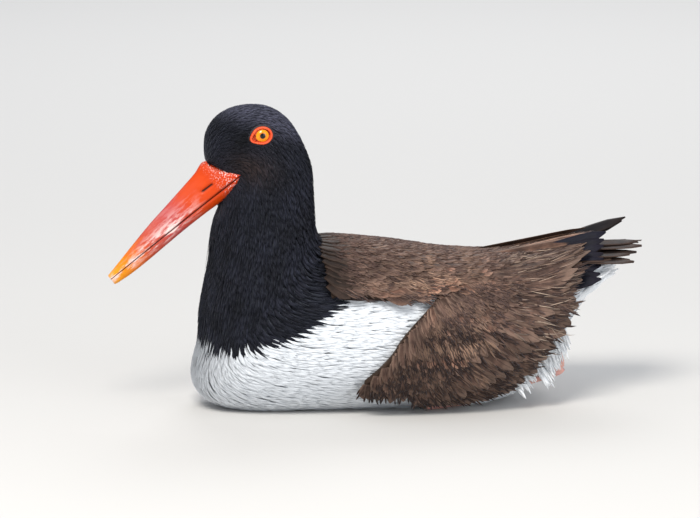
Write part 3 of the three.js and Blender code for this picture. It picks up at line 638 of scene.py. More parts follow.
# %% [markdown]
# ## Vanes
# A long feather is a stiff shaft with a thin web on each side. A flat card with a picture of a feather would
# be quick, but it has no thickness and needs an image, so a vane here is a closed form: a grid along and
# across it, slightly cupped, with the same grid below it. Its outline widens from the root and rounds off to
# the tip. In a tier the upper feathers lie on the lower ones, so each vane's lower edge stands a little
# higher than its upper edge.

# %% Vanes as arrays
VANE_ROWS = 9
VANE_COLUMNS = 7
VANE_THICK = 0.35
VANE_TILT = 0.3
VANE_CUP = 0.25
SHEET_ROOT_WIDTH = 0.6
BLADE_ROOT_WIDTH = 0.7
# The share of the rounding that is kept at the tip, so that no vane ends in a point of no width.
TIP_ROUNDING = 0.985
SMALL_TIP_START = 0.5


def vane_outline(share, root_width, tip_start):
    """Root width growing to 1 by 40% of the length, times sqrt(1 - past^2 * rounding) past tip_start."""
    base = blend(root_width, 1.0, np.minimum(1, share / 0.4))
    past = np.clip((share - tip_start) / (1 - tip_start), 0, 1)
    return base * np.sqrt(1 - past ** 2 * TIP_ROUNDING)


def vane_faces(count, rows, columns):
    """Quads of the upper grid, the lower grid and the rim that joins them, for each vane."""
    top = grid_faces(rows, columns)
    low = top[:, ::-1] + rows * columns
    edge = np.concatenate([np.arange(columns - 1), np.arange(rows - 1) * columns + columns - 1,
                           np.arange(columns - 1, 0, -1) + (rows - 1) * columns,
                           np.arange(rows - 1, 0, -1) * columns])
    after = np.roll(edge, -1)
    rim = np.stack([edge, edge + rows * columns, after + rows * columns, after], -1)
    one = np.vstack([top, low, rim])
    return (one[None] + 2 * rows * columns * np.arange(count)[:, None, None]).reshape(-1, 4)


def vane_mesh(name, top, normals, material, tones, root_uv, replaced=()):
    """Closed vanes: the lower grid lies thick * (1 - 0.7 across^2) under the upper one, along its normals."""
    count, rows, columns = top.shape[:3]
    across = np.linspace(-1, 1, columns)[None, None, :]
    thick = (VANE_THICK * (1 - 0.7 * across ** 2))[..., None]
    low = top - normals * thick
    points = np.stack([top, low], 1).reshape(-1, 3)
    points[:, 2] = np.maximum(points[:, 2], 0.3)
    faces = vane_faces(count, rows, columns)
    share = np.linspace(0, 1, rows)[None, None, :, None]
    u, v = np.broadcast_arrays(across[:, None], share)
    vane = np.stack([u, v], -1)
    vane = np.broadcast_to(vane, (count, 2, rows, columns, 2)).reshape(-1, 2)
    patch = np.stack([(u + 1) / 2, v], -1) * BAKE_PATCH
    bake = root_uv[:, None, None, None, :] + np.broadcast_to(patch, (count, 2, rows, columns, 2))
    tone = np.broadcast_to(tones[:, None, None, None, :], (count, 2, rows, columns, 3)).reshape(-1, 3)
    seed = np.broadcast_to(rng.random((count, 1)), (count, 2 * rows * columns)).reshape(-1)
    add_mesh(name, points, facing_out(points, faces), material,
             uv={"OFBake": bake.reshape(-1, 2), "Vane": vane}, values={"Plumage": tone, "Seed": seed},
             replaced=replaced)


def sheet_vanes(root, tip, width, lift, side, tip_start, bend=0.0):
    """Upper grids of vanes from root to tip in the sheet, bowed by bend * sin(pi s) degrees, and normals."""
    share = np.linspace(0, 1, VANE_ROWS)[None, :, None]
    across = np.linspace(-1, 1, VANE_COLUMNS)[None, None, :]
    root_x, root_a, tip_x, tip_a = [np.asarray(v, float)[:, None, None] for v in (*root, *tip)]

    def centre(s):
        return blend(root_x, tip_x, s), blend(root_a, tip_a, s) + bend * np.sin(np.pi * s)
    x, a = centre(share)
    ahead = sheet_spot(*centre(share + 0.02)) - sheet_spot(*centre(share - 0.02))
    ahead /= np.maximum(np.linalg.norm(ahead, axis=-1), 1e-9)[..., None]
    reach = across * width / 2 * vane_outline(share, SHEET_ROOT_WIDTH, tip_start)
    down_share = -ahead[..., 0]
    side_share = np.sqrt(np.maximum(0, 1 - down_share ** 2)) * np.where(ahead[..., 2] > 0, -1, 1)
    rise = blend(*lift, share) + VANE_TILT * across - VANE_CUP * across ** 2
    place = (x + reach * side_share, a + reach * down_share / sheet_girth(x))
    top = sheet_point(*place, rise, side)
    normals = sheet_point(*place, rise + 1.0, side) - top
    return top, normals / np.maximum(np.linalg.norm(normals, axis=-1), 1e-9)[..., None]


print("triangles in one vane:", 2 * len(vane_faces(1, VANE_ROWS, VANE_COLUMNS)))

# %% [markdown]
# The edges of a real vane are never a hard line: single barbs come loose and lie on. So every vane gets a few
# thin tufts, rooted on it and reaching a mm or two past its edge, in its own tone or paler. They are the
# same tufts as the coat's, laid in the sheet.

# %% Loose barbs on the vanes
def lay_barbs(name, side, x, angle, direction, length, width, lift, colour):
    """Closed tufts in the sheet: from a root along a direction of (x, down the side), both in mm."""
    share = TUFT_SHARES[None, :]
    half = TUFT_WIDTHS[None, :] * width[:, None] / 2
    girth = sheet_girth(x)[:, None]
    along = share * length[:, None]
    rise = blend(lift[0][:, None], lift[1][:, None], share)
    sides = []
    for edge, ridge in ((-1, 0.0), (1, 0.0), (0, 0.3)):
        reach = edge * half
        step_x = direction[:, :1] * along - direction[:, 1:] * reach
        step_down = direction[:, 1:] * along + direction[:, :1] * reach
        height = rise + ridge * (half > 0)
        sides.append(sheet_point(x[:, None] + step_x, angle[:, None] + step_down / girth, height, side))
    points = tuft_points(sides).reshape(-1, 3)
    streaks, patch = tuft_maps(len(x))
    bake = sheet_uv(x, angle, side)[:, None] + patch
    add_mesh(name, points, facing_out(points, tuft_faces(len(x))), contour_plumage,
             uv={"OFBake": bake.reshape(-1, 2), "Vane": streaks.reshape(-1, 2)},
             values={"Plumage": np.repeat(colour, 10, axis=0)})


def sheet_uv(x, angle, side):
    """The sheet's own unwrap: angle across, x along, each side in its own half."""
    return np.stack([np.asarray(angle) / 180 * 0.3 + (0.02 if side == LEFT else 0.5),
                     0.66 + (np.asarray(x) + 160) / 220 * 0.3], -1)


def fray(name, side, root, tip, width, lift, per_vane, length, tones, share_from=0.35):
    """Loose barbs for a tier: rooted from share_from to 0.92 of each vane, and leaning out to its edges."""
    which = np.repeat(np.arange(len(root[0])), per_vane)
    share = blend(share_from, 0.92, rng.random(len(which)))
    across = rng.random(len(which)) * 1.9 - 0.95
    root_x, root_a, tip_x, tip_a = [np.asarray(v, float)[which] for v in (*root, *tip)]
    x = blend(root_x, tip_x, share)
    angle = blend(root_a, tip_a, share)
    girth = sheet_girth(x)
    flow = np.stack([tip_x - root_x, (tip_a - root_a) * girth], -1)
    flow /= np.linalg.norm(flow, axis=1)[:, None]
    reach = across * width / 2 * vane_outline(share, SHEET_ROOT_WIDTH, 0.6)
    x = x - flow[:, 1] * reach
    angle = angle + flow[:, 0] * reach / girth
    lean = 0.28 * across + 0.12 * rng.normal(size=len(which))
    lie = np.stack([flow[:, 0] - lean * flow[:, 1], flow[:, 1] + lean * flow[:, 0]], -1)
    lie /= np.linalg.norm(lie, axis=1)[:, None]
    height = blend(lift[0], lift[1], share)
    z = sheet_spot(x, angle)[:, 2]
    fan = smooth(-x, 50, 74) * smooth(z, 22, 40)
    pale = fan * smooth(x, -98, -86) * (rng.random(len(which)) > 0.82)
    long = length * (0.7 + 0.6 * rng.random(len(which))) * (1 + 0.7 * pale)
    wide = (0.7 + 0.7 * rng.random(len(which))) * (1 - 0.5 * pale)
    tip_height = height + 0.2 + 0.2 * rng.random(len(which))
    colours = fray_colours(x, z, tones[which], fan, pale)
    lay_barbs(name, side, x, angle, lie, long, wide, (height - 0.1, tip_height), colours)


# %% [markdown]
# The wing isn't one brown: it is warm and mottled over the scapulars and the middle, umber low down, nearly
# black where it meets the hood, and crossed by pale hairs in the rear fan. As for the body, functions of
# place give these colours, so that a barb and the vane below it agree.

# %% Colours of the brown feathers
WARM_TAN = np.array(linear("#a98b77")[:3])
UMBER = np.array(linear("#342722")[:3])
SADDLE = np.array(linear("#584640")[:3])
FAN_PALE = np.array(linear("#bda998")[:3])


def front_shade(x):
    """The mantle's feathers darken towards the hood over 16 mm: 1 behind x = 33 mm, 0.25 past 49 mm."""
    return blend(1.0, 0.25, smooth(x, 33, 49))


def mottle(x, z):
    """Warm patches as 0 to 1: ripples of place above a limit, times a bell on the scapulars and the wing."""
    place = np.stack([x, np.zeros_like(x), z], -1)
    patch = smooth(ripple(place, 8.5) + 0.5 * ripple(place[..., ::-1], 3.4), 0.0, 0.6)
    scapular_zone = np.exp(-((x + 8) / 32) ** 2 - ((z - 76) / 11) ** 2)
    wing_zone = 0.75 * np.exp(-((x + 32) / 26) ** 2 - ((z - 40) / 18) ** 2)
    return np.clip(patch * (scapular_zone + wing_zone), 0, 1)


def fray_colours(x, z, tones, fan, pale):
    """Umber low on the wing, saddle brown above, tan where mottled, pale hairs in the dark rear fan."""
    pick = rng.random(len(x))
    low_wing = smooth(62 - z + 0.15 * x, 0, 8)
    colour = blend(SADDLE, UMBER, low_wing[:, None])
    warm = np.clip(mottle(x, z) * 0.9 + 0.22 * smooth(pick, 0.75, 1.0), 0, 1)
    colour = blend(colour, WARM_TAN, warm[:, None])
    colour = blend(colour, UMBER, 0.5 * fan[:, None])
    colour = blend(colour, FAN_PALE, 0.75 * pale[:, None])
    return colour * tones * front_shade(x)[:, None]


print("mottling in the middle of the scapulars:", mottle(np.array([-8.0]), np.array([76.0])).round(2))

# %% [markdown]
# Brown vanes are sooty brown, worn paler and warmer at the fringes, with a dark shaft and fine slanting
# barbs, which give the eye a matt, combed surface. The vane's own map gives across and along, so fringe and
# shaft sit where they are on each feather. Barbs are 0.1 mm apart and too fine to show: here a clump of them
# is drawn, 46 along a vane of 10 to 60 mm. The slow noise is about 6 mm across, like the worn patches.

# %% Material of the brown vanes
BARBS_ALONG = 46.0
WORN_PATCHES_PER_METRE = 160.0


def vane_material(name, base_hex, pale_hex, fringe_hex, fringe_share, shaft_hex, rough=0.6, sheen=0.08):
    """Base mixed by a slow noise and the feather's own tone, then fringe, then shaft, times fine barbs."""
    material, tree, shader = new_material(name, Roughness=rough, Sheen_Weight=sheen, Sheen_Roughness=0.45,
                                          Sheen_Tint=linear("#c9b8a8"), Specular_IOR_Level=0.14)
    vane = add_node(tree, "ShaderNodeUVMap", {"uv_map": "Vane"})
    parts = add_node(tree, "ShaderNodeSeparateXYZ", links={0: vane.outputs[0]})
    across, along = parts.outputs[0], parts.outputs[1]
    seed = add_node(tree, "ShaderNodeAttribute", {"attribute_name": "Seed"}).outputs["Fac"]
    tone = add_node(tree, "ShaderNodeAttribute", {"attribute_name": "Plumage"}).outputs["Color"]
    place = add_node(tree, "ShaderNodeTexCoord")
    cloud = add_node(tree, "ShaderNodeTexNoise", {"Scale": WORN_PATCHES_PER_METRE, "Detail": 3.0},
                     {"Vector": place.outputs["Object"]})
    level = add_node(tree, "ShaderNodeMapRange", {"From Min": 0.35, "From Max": 0.68},
                     {"Value": cloud.outputs[0]})
    base = add_node(tree, "ShaderNodeMix", {"data_type": "RGBA", 6: linear(base_hex), 7: linear(pale_hex)},
                    {0: level.outputs[0]})
    side = add_node(tree, "ShaderNodeMath", {"operation": "ABSOLUTE"}, {0: across}).outputs[0]
    edge = add_node(tree, "ShaderNodeMapRange", {"From Min": 0.55, "From Max": 1.0}, {"Value": side})
    tip = add_node(tree, "ShaderNodeMapRange", {"From Min": 0.8, "From Max": 1.0}, {"Value": along})
    rim = add_node(tree, "ShaderNodeMath", {"operation": "MAXIMUM"}, {0: edge.outputs[0], 1: tip.outputs[0]})
    worn = add_node(tree, "ShaderNodeMath",
                    {"operation": "MULTIPLY_ADD", 1: fringe_share, 2: fringe_share * 0.6}, {0: seed})
    fringe = add_node(tree, "ShaderNodeMath", {"operation": "MULTIPLY"},
                      {0: rim.outputs[0], 1: worn.outputs[0]})
    fringed = add_node(tree, "ShaderNodeMix", {"data_type": "RGBA", 7: linear(fringe_hex)},
                       {0: fringe.outputs[0], 6: base.outputs[2]})
    line = add_node(tree, "ShaderNodeMapRange", {"From Min": 0.075, "From Max": 0.03, "To Max": 0.6},
                    {"Value": side})
    shafted = add_node(tree, "ShaderNodeMix", {"data_type": "RGBA", 7: linear(shaft_hex)},
                       {0: line.outputs[0], 6: fringed.outputs[2]})
    slant = add_node(tree, "ShaderNodeMath", {"operation": "MULTIPLY_ADD", 1: -0.35}, {0: side, 2: along})
    spacing = add_node(tree, "ShaderNodeMath", {"operation": "MULTIPLY", 1: BARBS_ALONG},
                       {0: slant.outputs[0]})
    shift = add_node(tree, "ShaderNodeMath", {"operation": "MULTIPLY", 1: 37.0}, {0: seed})
    barb_place = add_node(tree, "ShaderNodeCombineXYZ",
                          links={0: spacing.outputs[0], 1: shift.outputs[0], 2: across})
    barb = add_node(tree, "ShaderNodeTexNoise", {"Scale": 1.0, "Detail": 2.0},
                    {"Vector": barb_place.outputs[0]})
    groove = add_node(tree, "ShaderNodeMapRange", {"To Min": 0.6, "To Max": 1.35}, {"Value": barb.outputs[0]})
    barbed = add_node(tree, "ShaderNodeMix", {"data_type": "RGBA", "blend_type": "MULTIPLY", 0: 1.0},
                      {6: shafted.outputs[2], 7: groove.outputs[0]})
    toned = add_node(tree, "ShaderNodeMix", {"data_type": "RGBA", "blend_type": "MULTIPLY", 0: 1.0},
                     {6: barbed.outputs[2], 7: tone})
    tree.links.new(toned.outputs[2], shader.inputs["Base Color"])
    bump = add_node(tree, "ShaderNodeBump", {"Strength": 0.35, "Distance": 0.0004},
                    {"Height": barb.outputs[0]})
    tree.links.new(bump.outputs[0], shader.inputs["Normal"])
    return material


# Base, worn base, fringe, its share, shaft, roughness and sheen. Flight and tail feathers are stiff, without
# sheen, and flight feathers a little glossier; down is the mattest.
brown_vane = vane_material("Sooty_brown_vane_worn_fringe", "#3b2d28", "#644e45", "#9c8476", 0.42, "#241a17")
dark_vane = vane_material("Black_brown_flight_vane", "#100f15", "#1c191d", "#5c483a", 0.22, "#0c0a0c", 0.55,
                          0.0)
tail_vane = vane_material("Tail_vane_tan_web", "#171213", "#30241f", "#5c483d", 0.3, "#4b3b32", 0.6, 0.0)
wing_pad = vane_material("Down_under_wing_feathers", "#2e231d", "#3d2f27", "#3d2f27", 0.1, "#2e231d", 0.8)

# %% [markdown]
# ## The folded wings
# Each wing is built from the inside out: a pad of down, the flight feathers, then greater, middle and lesser
# coverts, the tertials, and the scapulars on top. The left wing droops to the ground and fans out behind. The
# right wing is held a little higher, with its dark tip above the tail.

# %% Wing tiers
RIGHT_WING_RAISED = 10.0
FEATHER_WARMTH = np.array([[1.0, 0.98, 0.96]])


def wing_lift(side, z):
    """How much higher the right wing is held at a height z, in mm: all of it at 10 mm, nothing at 70 mm."""
    return 0.0 if side == LEFT else RIGHT_WING_RAISED * float(np.clip((70 - z) / 60, 0, 1))


def raised(line, side):
    """A line of side-view places, raised for the right wing."""
    return [(x, z + wing_lift(side, z)) for x, z in line]


def tier(name, side, count, roots, tips, width, lift, barbs, tip_start, tone=1.0, bend=0.0):
    """A tier of vanes spread along a line of roots and a line of tips, varied a little, with loose barbs."""
    share = np.linspace(0, 1, count)
    root = place_between(raised(roots, side), share)
    tip_x, tip_a = place_between(raised(tips, side), share)
    tip = (tip_x + 1.6 * rng.normal(size=count), tip_a + 0.8 * rng.normal(size=count))
    top, normals = sheet_vanes(root, tip, width, lift, side, tip_start, bend)
    tones = (0.78 + 0.44 * rng.random((count, 1))) * FEATHER_WARMTH * tone
    fray(name + "_barbs", side, root, tip, width, lift, barbs, 8.0, tones, 0.3)
    vane_mesh(name, top, normals, brown_vane, tones, sheet_uv(*root, side))


def scatter_vanes(name, side, rows, columns, upper, lower, flow, length, width, lift, barbs, tone=1.0):
    """Small vanes in offset rows between an upper and a lower line, each laid along flow(x, z)."""
    row, column = np.meshgrid(np.linspace(0, 1, rows), np.arange(columns), indexing="ij")
    offset = 0.5 * (np.arange(rows) % 2)[:, None]
    share = np.clip((column + offset + 0.25 * rng.normal(size=row.shape)) / (columns - 0.5), 0, 1)
    upper_x, upper_a = place_between(raised(upper, side), share)
    lower_x, lower_a = place_between(raised(lower, side), share)
    down = np.clip(row + 0.16 / rows * rng.normal(size=row.shape), 0, 1)
    x = blend(upper_x, lower_x, down).ravel()
    a = blend(upper_a, lower_a, down).ravel()
    spot = sheet_spot(x, a)
    direction = flow(x, spot[:, 2])
    direction = direction + 0.1 * rng.normal(size=direction.shape)
    direction /= np.linalg.norm(direction, axis=1)[:, None]
    reach = length * (0.85 + 0.3 * rng.random(len(x)))
    tip = (x + direction[:, 0] * reach, a - direction[:, 1] * reach / sheet_girth(x))
    top, normals = sheet_vanes((x, a), tip, width, lift, side, SMALL_TIP_START)
    tones = (0.72 + 0.5 * rng.random((len(x), 1))) * FEATHER_WARMTH * tone
    warm = 0.88 + mottle(x, spot[:, 2])[:, None] * np.array([[1.9, 1.5, 1.25]])
    fray(name + "_barbs", side, (x, a), tip, width, lift, barbs, 5.0, tones)
    tones = tones * warm * front_shade(x)[:, None]
    vane_mesh(name, top, normals, brown_vane, tones, sheet_uv(x, a, side))


def wing_flow(x, z):
    """The lie on the wing: away from a point over the shoulder, back at the top and down at the bottom."""
    away = np.stack([x - 24, z - 128], -1)
    return away / np.linalg.norm(away, axis=1)[:, None]


def scapular_flow(x, _):
    """The lie on the mantle and scapulars: back, and down at the front by 0.42 to 1 along, at any height."""
    slope = -0.42 + 0.5 * smooth(-x, -30, 50)
    away = np.stack([-np.ones_like(x), slope], -1)
    return away / np.linalg.norm(away, axis=1)[:, None]


# %% [markdown]
# Between the vanes the eye would see through to the white flank. On the bird, down fills that space, so a
# closed pad of dark down lies under each wing and under the mantle. It is thickest in the middle and thins to
# its edges, so that it never shows as a slab.

# %% Pads of down
PAD_ROWS = 60
PAD_COLUMNS = 36
PAD_DEPTH = -6.0


def pad_mesh(name, side, upper, lower, outer, replaced=()):
    """A closed pillow of the sheet between two lines: outer mm times (sin * sin)^0.35 over PAD_DEPTH."""
    a, b = np.meshgrid(np.linspace(0, 1, PAD_ROWS), np.linspace(0, 1, PAD_COLUMNS), indexing="ij")
    upper_x, upper_a = place_between(raised(upper, side), a)
    lower_x, lower_a = place_between(raised(lower, side), a)
    swell = (np.sin(np.pi * blend(0.06, 0.94, a)) * np.sin(np.pi * blend(0.06, 0.94, b))) ** 0.35
    x = blend(upper_x, lower_x, b)
    angle = blend(upper_a, lower_a, b)
    top = sheet_point(x, angle, outer * swell, side)
    low = sheet_point(x, angle, PAD_DEPTH, side)
    points = np.vstack([top.reshape(-1, 3), low.reshape(-1, 3)])
    faces = facing_out(points, vane_faces(1, PAD_ROWS, PAD_COLUMNS))
    uv = sheet_uv(x, angle, side).reshape(-1, 2)
    vane = np.stack([b * 0.4 + 0.2, a * 0.4], -1).reshape(-1, 2)
    add_mesh(name, points, faces, wing_pad,
             uv={"OFBake": np.vstack([uv, uv]), "Vane": np.vstack([vane, vane])},
             values={"Plumage": np.ones((len(points), 3)), "Seed": np.full(len(points), 0.3)},
             replaced=replaced)


# %% [markdown]
# Both wings come from the same lines of roots and tips, given as side-view places in mm. A tier overlaps the
# one under it by more than half of a feather, as on the bird, so only the outer part of each feather shows.

# %% Both wings
PAD_UPPER = [(-13, 67), (-24, 76), (-42, 79), (-70, 81), (-98, 81)]
PAD_LOWER = [(28, 20), (2, 11), (-34, 11), (-60, 26), (-90, 64)]
MANTLE_UPPER = [(48, 96.1), (25, 93.9), (-5, 89.9), (-32, 85.5), (-56, 84.1)]
MANTLE_LOWER = [(46, 71), (33, 74), (8, 70), (-20, 77), (-50, 81)]
SCAPULAR_LOWER = [(48, 77), (32, 77), (6, 72), (-20, 77), (-56, 82)]

for side, word in ((LEFT, "left"), (RIGHT, "right")):
    pad_mesh(f"wing_{word}_pad", side, PAD_UPPER, PAD_LOWER, -0.2, replaced=(f"wing_{word}",))
    pad_mesh(f"mantle_{word}_pad", side, MANTLE_UPPER, MANTLE_LOWER, 0.6)
    tier(f"wing_{word}_secondaries", side, 21, [(4, 34), (-24, 56), (-60, 78)],
         [(-22, 5), (-52, 9), (-72, 22), (-94, 51), (-106, 78)], 12.0, (0.2, 0.9),
         barbs=34, tip_start=0.66, tone=0.78, bend=-2.0)
    tier(f"wing_{word}_greater_coverts", side, 20, [(8, 34), (-12, 58), (-38, 78)],
         [(-6, 6), (-36, 13), (-66, 34), (-98, 73)], 10.0, (0.9, 1.6), barbs=18, tip_start=0.6, tone=0.95)
    tier(f"wing_{word}_middle_coverts", side, 18, [(10, 38), (-6, 60), (-30, 79)],
         [(10, 10), (-20, 22), (-50, 44), (-78, 77)], 9.0, (1.3, 2.1), barbs=14, tip_start=0.55)
    scatter_vanes(f"wing_{word}_lesser_coverts", side, 9, 19, [(-13, 66), (-24, 72), (-36, 79)],
                  [(27, 21), (6, 24), (-28, 44), (-58, 74)], wing_flow, 12.0, 7.0, (1.6, 2.4), 8, 0.88)
    tier(f"wing_{word}_tertials", side, 7, [(-30, 76), (-28, 83)], [(-98, 76), (-107, 86), (-111, 90.5)],
         12.0, (1.2, 2.6), barbs=22, tip_start=0.74, tone=0.85)
    scatter_vanes(f"scapulars_{word}", side, 10, 22, MANTLE_UPPER, SCAPULAR_LOWER, scapular_flow,
                  15.0, 8.5, (1.4, 2.7), 9)

# %% [markdown]
# Small back feathers close the line between the two sides, where the scapulars of left and right meet on the
# bird. They are laid across the crest, where a negative angle of the sheet is the other side.

# %% Feathers along the back
crest_x, crest_a = np.meshgrid(np.linspace(48, -100, 42), np.linspace(-9, 9, 8), indexing="ij")
crest_x = (crest_x + 1.5 * rng.normal(size=crest_x.shape)).ravel()
crest_a = (crest_a + 0.8 * rng.normal(size=crest_a.shape)).ravel()
crest_tip = (crest_x - 13 - 3 * rng.random(len(crest_x)), crest_a * 1.1)
crest_tones = (0.72 + 0.5 * rng.random((len(crest_x), 1))) * FEATHER_WARMTH
CREST_WIDTH = 7.0
CREST_LIFT = (1.2, 2.9)
crest_root = (crest_x, crest_a)
crest_top, crest_normals = sheet_vanes(crest_root, crest_tip, CREST_WIDTH, CREST_LIFT, LEFT, SMALL_TIP_START)
fray("back_barbs", LEFT, crest_root, crest_tip, CREST_WIDTH, CREST_LIFT, 8, 5.0, crest_tones)
vane_mesh("back_feathers", crest_top, crest_normals, brown_vane, crest_tones * front_shade(crest_x)[:, None],
          sheet_uv(crest_x, crest_a, LEFT))

# %% [markdown]
# The wing tips are stiff flight feathers that leave the sheet: black at the near wing's end, and on the far
# wing a stack of long blades that rises over the tail. Each is a straight blade between two points that
# faces a given way, a little sagged along it and cambered across it.

# %% Blades of the wing tips
BLADE_CAMBER = 0.35


def blades(name, root, tip, width, facing, material, tones, tip_start, droop=0.0):
    """root + (tip - root) * s - droop * sin(pi s); across is facing x along; camber goes as across^2."""
    share = np.linspace(0, 1, VANE_ROWS)[None, :, None, None]
    across = np.linspace(-1, 1, VANE_COLUMNS)[None, None, :, None]
    along = tip - root
    unit = along / np.linalg.norm(along, axis=1)[:, None]
    wide = np.cross(np.broadcast_to(facing, unit.shape), unit)
    wide /= np.linalg.norm(wide, axis=1)[:, None]
    out = np.cross(unit, wide)
    reach = across * width / 2 * vane_outline(share, BLADE_ROOT_WIDTH, tip_start)
    sag = np.array([0, 0, droop]) * np.sin(np.pi * share)
    centre = root[:, None, None] + along[:, None, None] * share - sag
    top = centre + wide[:, None, None] * reach - out[:, None, None] * BLADE_CAMBER * across ** 2
    normals = np.broadcast_to(out[:, None, None], top.shape)
    root_uv = np.stack([0.7 + root[:, 1] / 300, 0.8 + root[:, 0] / 1000], -1)
    vane_mesh(name, top, normals, material, tones, root_uv)


def between(first, last, count, wobble):
    """Points spread evenly from the first to the last, each off by up to half of wobble mm each way."""
    share = np.linspace(0, 1, count)[:, None]
    even_points = blend(np.array([first], float), np.array([last], float), share)
    return even_points + wobble * (rng.random((count, 3)) - 0.5)


PRIMARIES = 8
LONG_TERTIALS = 14
# Each near wing tip has a random tone times a painted bluish sheen: less red and green, more blue.
near_tone_and_sheen = (0.8 + 0.3 * rng.random((PRIMARIES, 1))) * np.array([[0.45, 0.6, 1.15]])
near_root = between((-66, 28, 66), (-66, 12, 80), PRIMARIES, 0.0)
near_tip = between((-115, 30, 73), (-121, 14, 98), PRIMARIES, 1.5)
blades("wing_left_primary_tips", near_root, near_tip, 9.0, (0, 0.85, 0.5), dark_vane, near_tone_and_sheen,
       0.5)
far_tones = 0.5 + 0.4 * rng.random((PRIMARIES, 1))
far_root = between((-66, -24, 74), (-60, -10, 80), PRIMARIES, 0.0)
far_tip = between((-118, -21, 88), (-139, -13, 101.5), PRIMARIES, 1.5)
blades("wing_right_primary_tips", far_root, far_tip, 7.5, (0, 0.62, 0.78), dark_vane, far_tones,
       0.7, 1.5)
for side, word in ((LEFT, "left"), (RIGHT, "right")):
    warm_tones = (0.45 + 1.4 * rng.random((LONG_TERTIALS, 1))) * np.array([[1.12, 1.0, 0.9]])
    rise = 0.0 if side == LEFT else -0.5
    root = between((-44, side * 27, 73), (-36, side * 6, 82), LONG_TERTIALS, 5.0)
    tip = between((-102, side * 27, 83 + rise), (-113, side * 9, 96 + rise), LONG_TERTIALS, 4.0)
    blades(f"wing_{word}_long_tertials", root, tip, 6.0, (0, side * 0.6, 0.8), brown_vane, warm_tones,
           0.7, 0.5)

# %% [markdown]
# ## The tail
# Twelve tail feathers fan out nearly flat, the middle pair on top, worn to uneven ends. Short coverts hide
# their roots from above and long white ones from below. The tail leaves the body's form, so it isn't laid on
# the sheet: a feather's place is its share of the fan's angle, which keeps them even from one formula.

# %% Tail feathers and coverts
TAIL_ROOT = (-58.0, 86.0)
TAIL_TIP = (-144.0, 87.2)
TAIL_FAN = 21.0
TAIL_COUNT = 12


def fan_vanes(share, start, end, width, drop, tip_start, sag=0.0):
    """Vanes of a fan: root + length * (cos, sin) of share * TAIL_FAN, from start to end of that length."""
    s = np.linspace(0, 1, VANE_ROWS)[None, :, None]
    across = np.linspace(-1, 1, VANE_COLUMNS)[None, None, :]
    share, start, end, drop = [np.broadcast_to(v, share.shape)[:, None, None]
                               for v in (share, start, end, drop)]
    angle = np.radians(TAIL_FAN * share)
    full = (TAIL_ROOT[0] - TAIL_TIP[0]) * (1 - 0.1 * share ** 2) / np.cos(angle)
    along = full * blend(start, end, s)
    reach = across * width / 2 * vane_outline(s, BLADE_ROOT_WIDTH, tip_start)
    x = TAIL_ROOT[0] - along * np.cos(angle) - reach * np.sin(angle)
    y = along * np.sin(angle) - reach * np.cos(angle)
    inner = np.where(share > 0, 1, -1) * across
    z = (blend(TAIL_ROOT[1], TAIL_TIP[1], blend(start, end, s)) - drop - np.abs(y) * 0.03
         + 0.35 * inner - 0.5 * across ** 2 - sag * s ** 2)
    top = np.stack(np.broadcast_arrays(x, y, z), -1)
    normals = np.zeros_like(top)
    normals[..., 2] = 1
    return top, normals


def fan_mesh(name, top, normals, material, tone, slot, replaced=()):
    """A fan's vanes as one mesh with their roots on the skin's tail end of the unwrap."""
    count = len(top)
    tones = (0.85 + 0.3 * rng.random((count, 1))) * tone
    root = top[:, 0, VANE_COLUMNS // 2]
    root_uv = np.stack([0.5 + root[:, 1] / 200, np.full(count, 0.63)], -1)
    vane_mesh(name, top, normals, material, tones, root_uv, replaced)


def in_rows(values, counts):
    """One value for each feather, row by row: each value repeated by its row's count."""
    return np.repeat(np.array(values, float), counts)


def spread_rows(reaches, counts):
    """Shares of the fan, row by row: evenly from minus the row's reach to its reach."""
    return np.concatenate([np.linspace(-reach, reach, count) for reach, count in zip(reaches, counts)])


feather_share = np.linspace(-1, 1, TAIL_COUNT)
feather_end = 0.9 + 0.13 * rng.random(TAIL_COUNT)
feather_drop = np.abs(feather_share) * 6.5 - 3.0 + 0.7 * rng.normal(size=TAIL_COUNT)
feather_share = feather_share + 0.05 * rng.normal(size=TAIL_COUNT)
fan_mesh("tail_feathers", *fan_vanes(feather_share, 0.42, feather_end, 14.0, feather_drop, 0.6), tail_vane,
         1.0, "tail_plumage", ("tail",))
UPPER_ROWS = (11, 9, 7)
covert_share = spread_rows((0.95, 0.85, 0.7), UPPER_ROWS)
covert_end = in_rows((0.8, 0.7, 0.6), UPPER_ROWS) + 0.03 * rng.random(sum(UPPER_ROWS))
covert_drop = np.abs(covert_share) * 4.0 - in_rows((0.9, 1.8, 2.7), UPPER_ROWS)
fan_mesh("upper_tail_coverts",
         *fan_vanes(covert_share, covert_end - 0.34, covert_end, 11.0, covert_drop, SMALL_TIP_START),
         tail_vane, 1.3, "tail_plumage")

# %% [markdown]
# ## White feathers under the tail and at the vent
# Under the tail the white coverts fan out like those above it. At the vent and over the heels hang longer,
# looser plumes, so they are blades too: narrow, pointed and many, falling clear of the body.

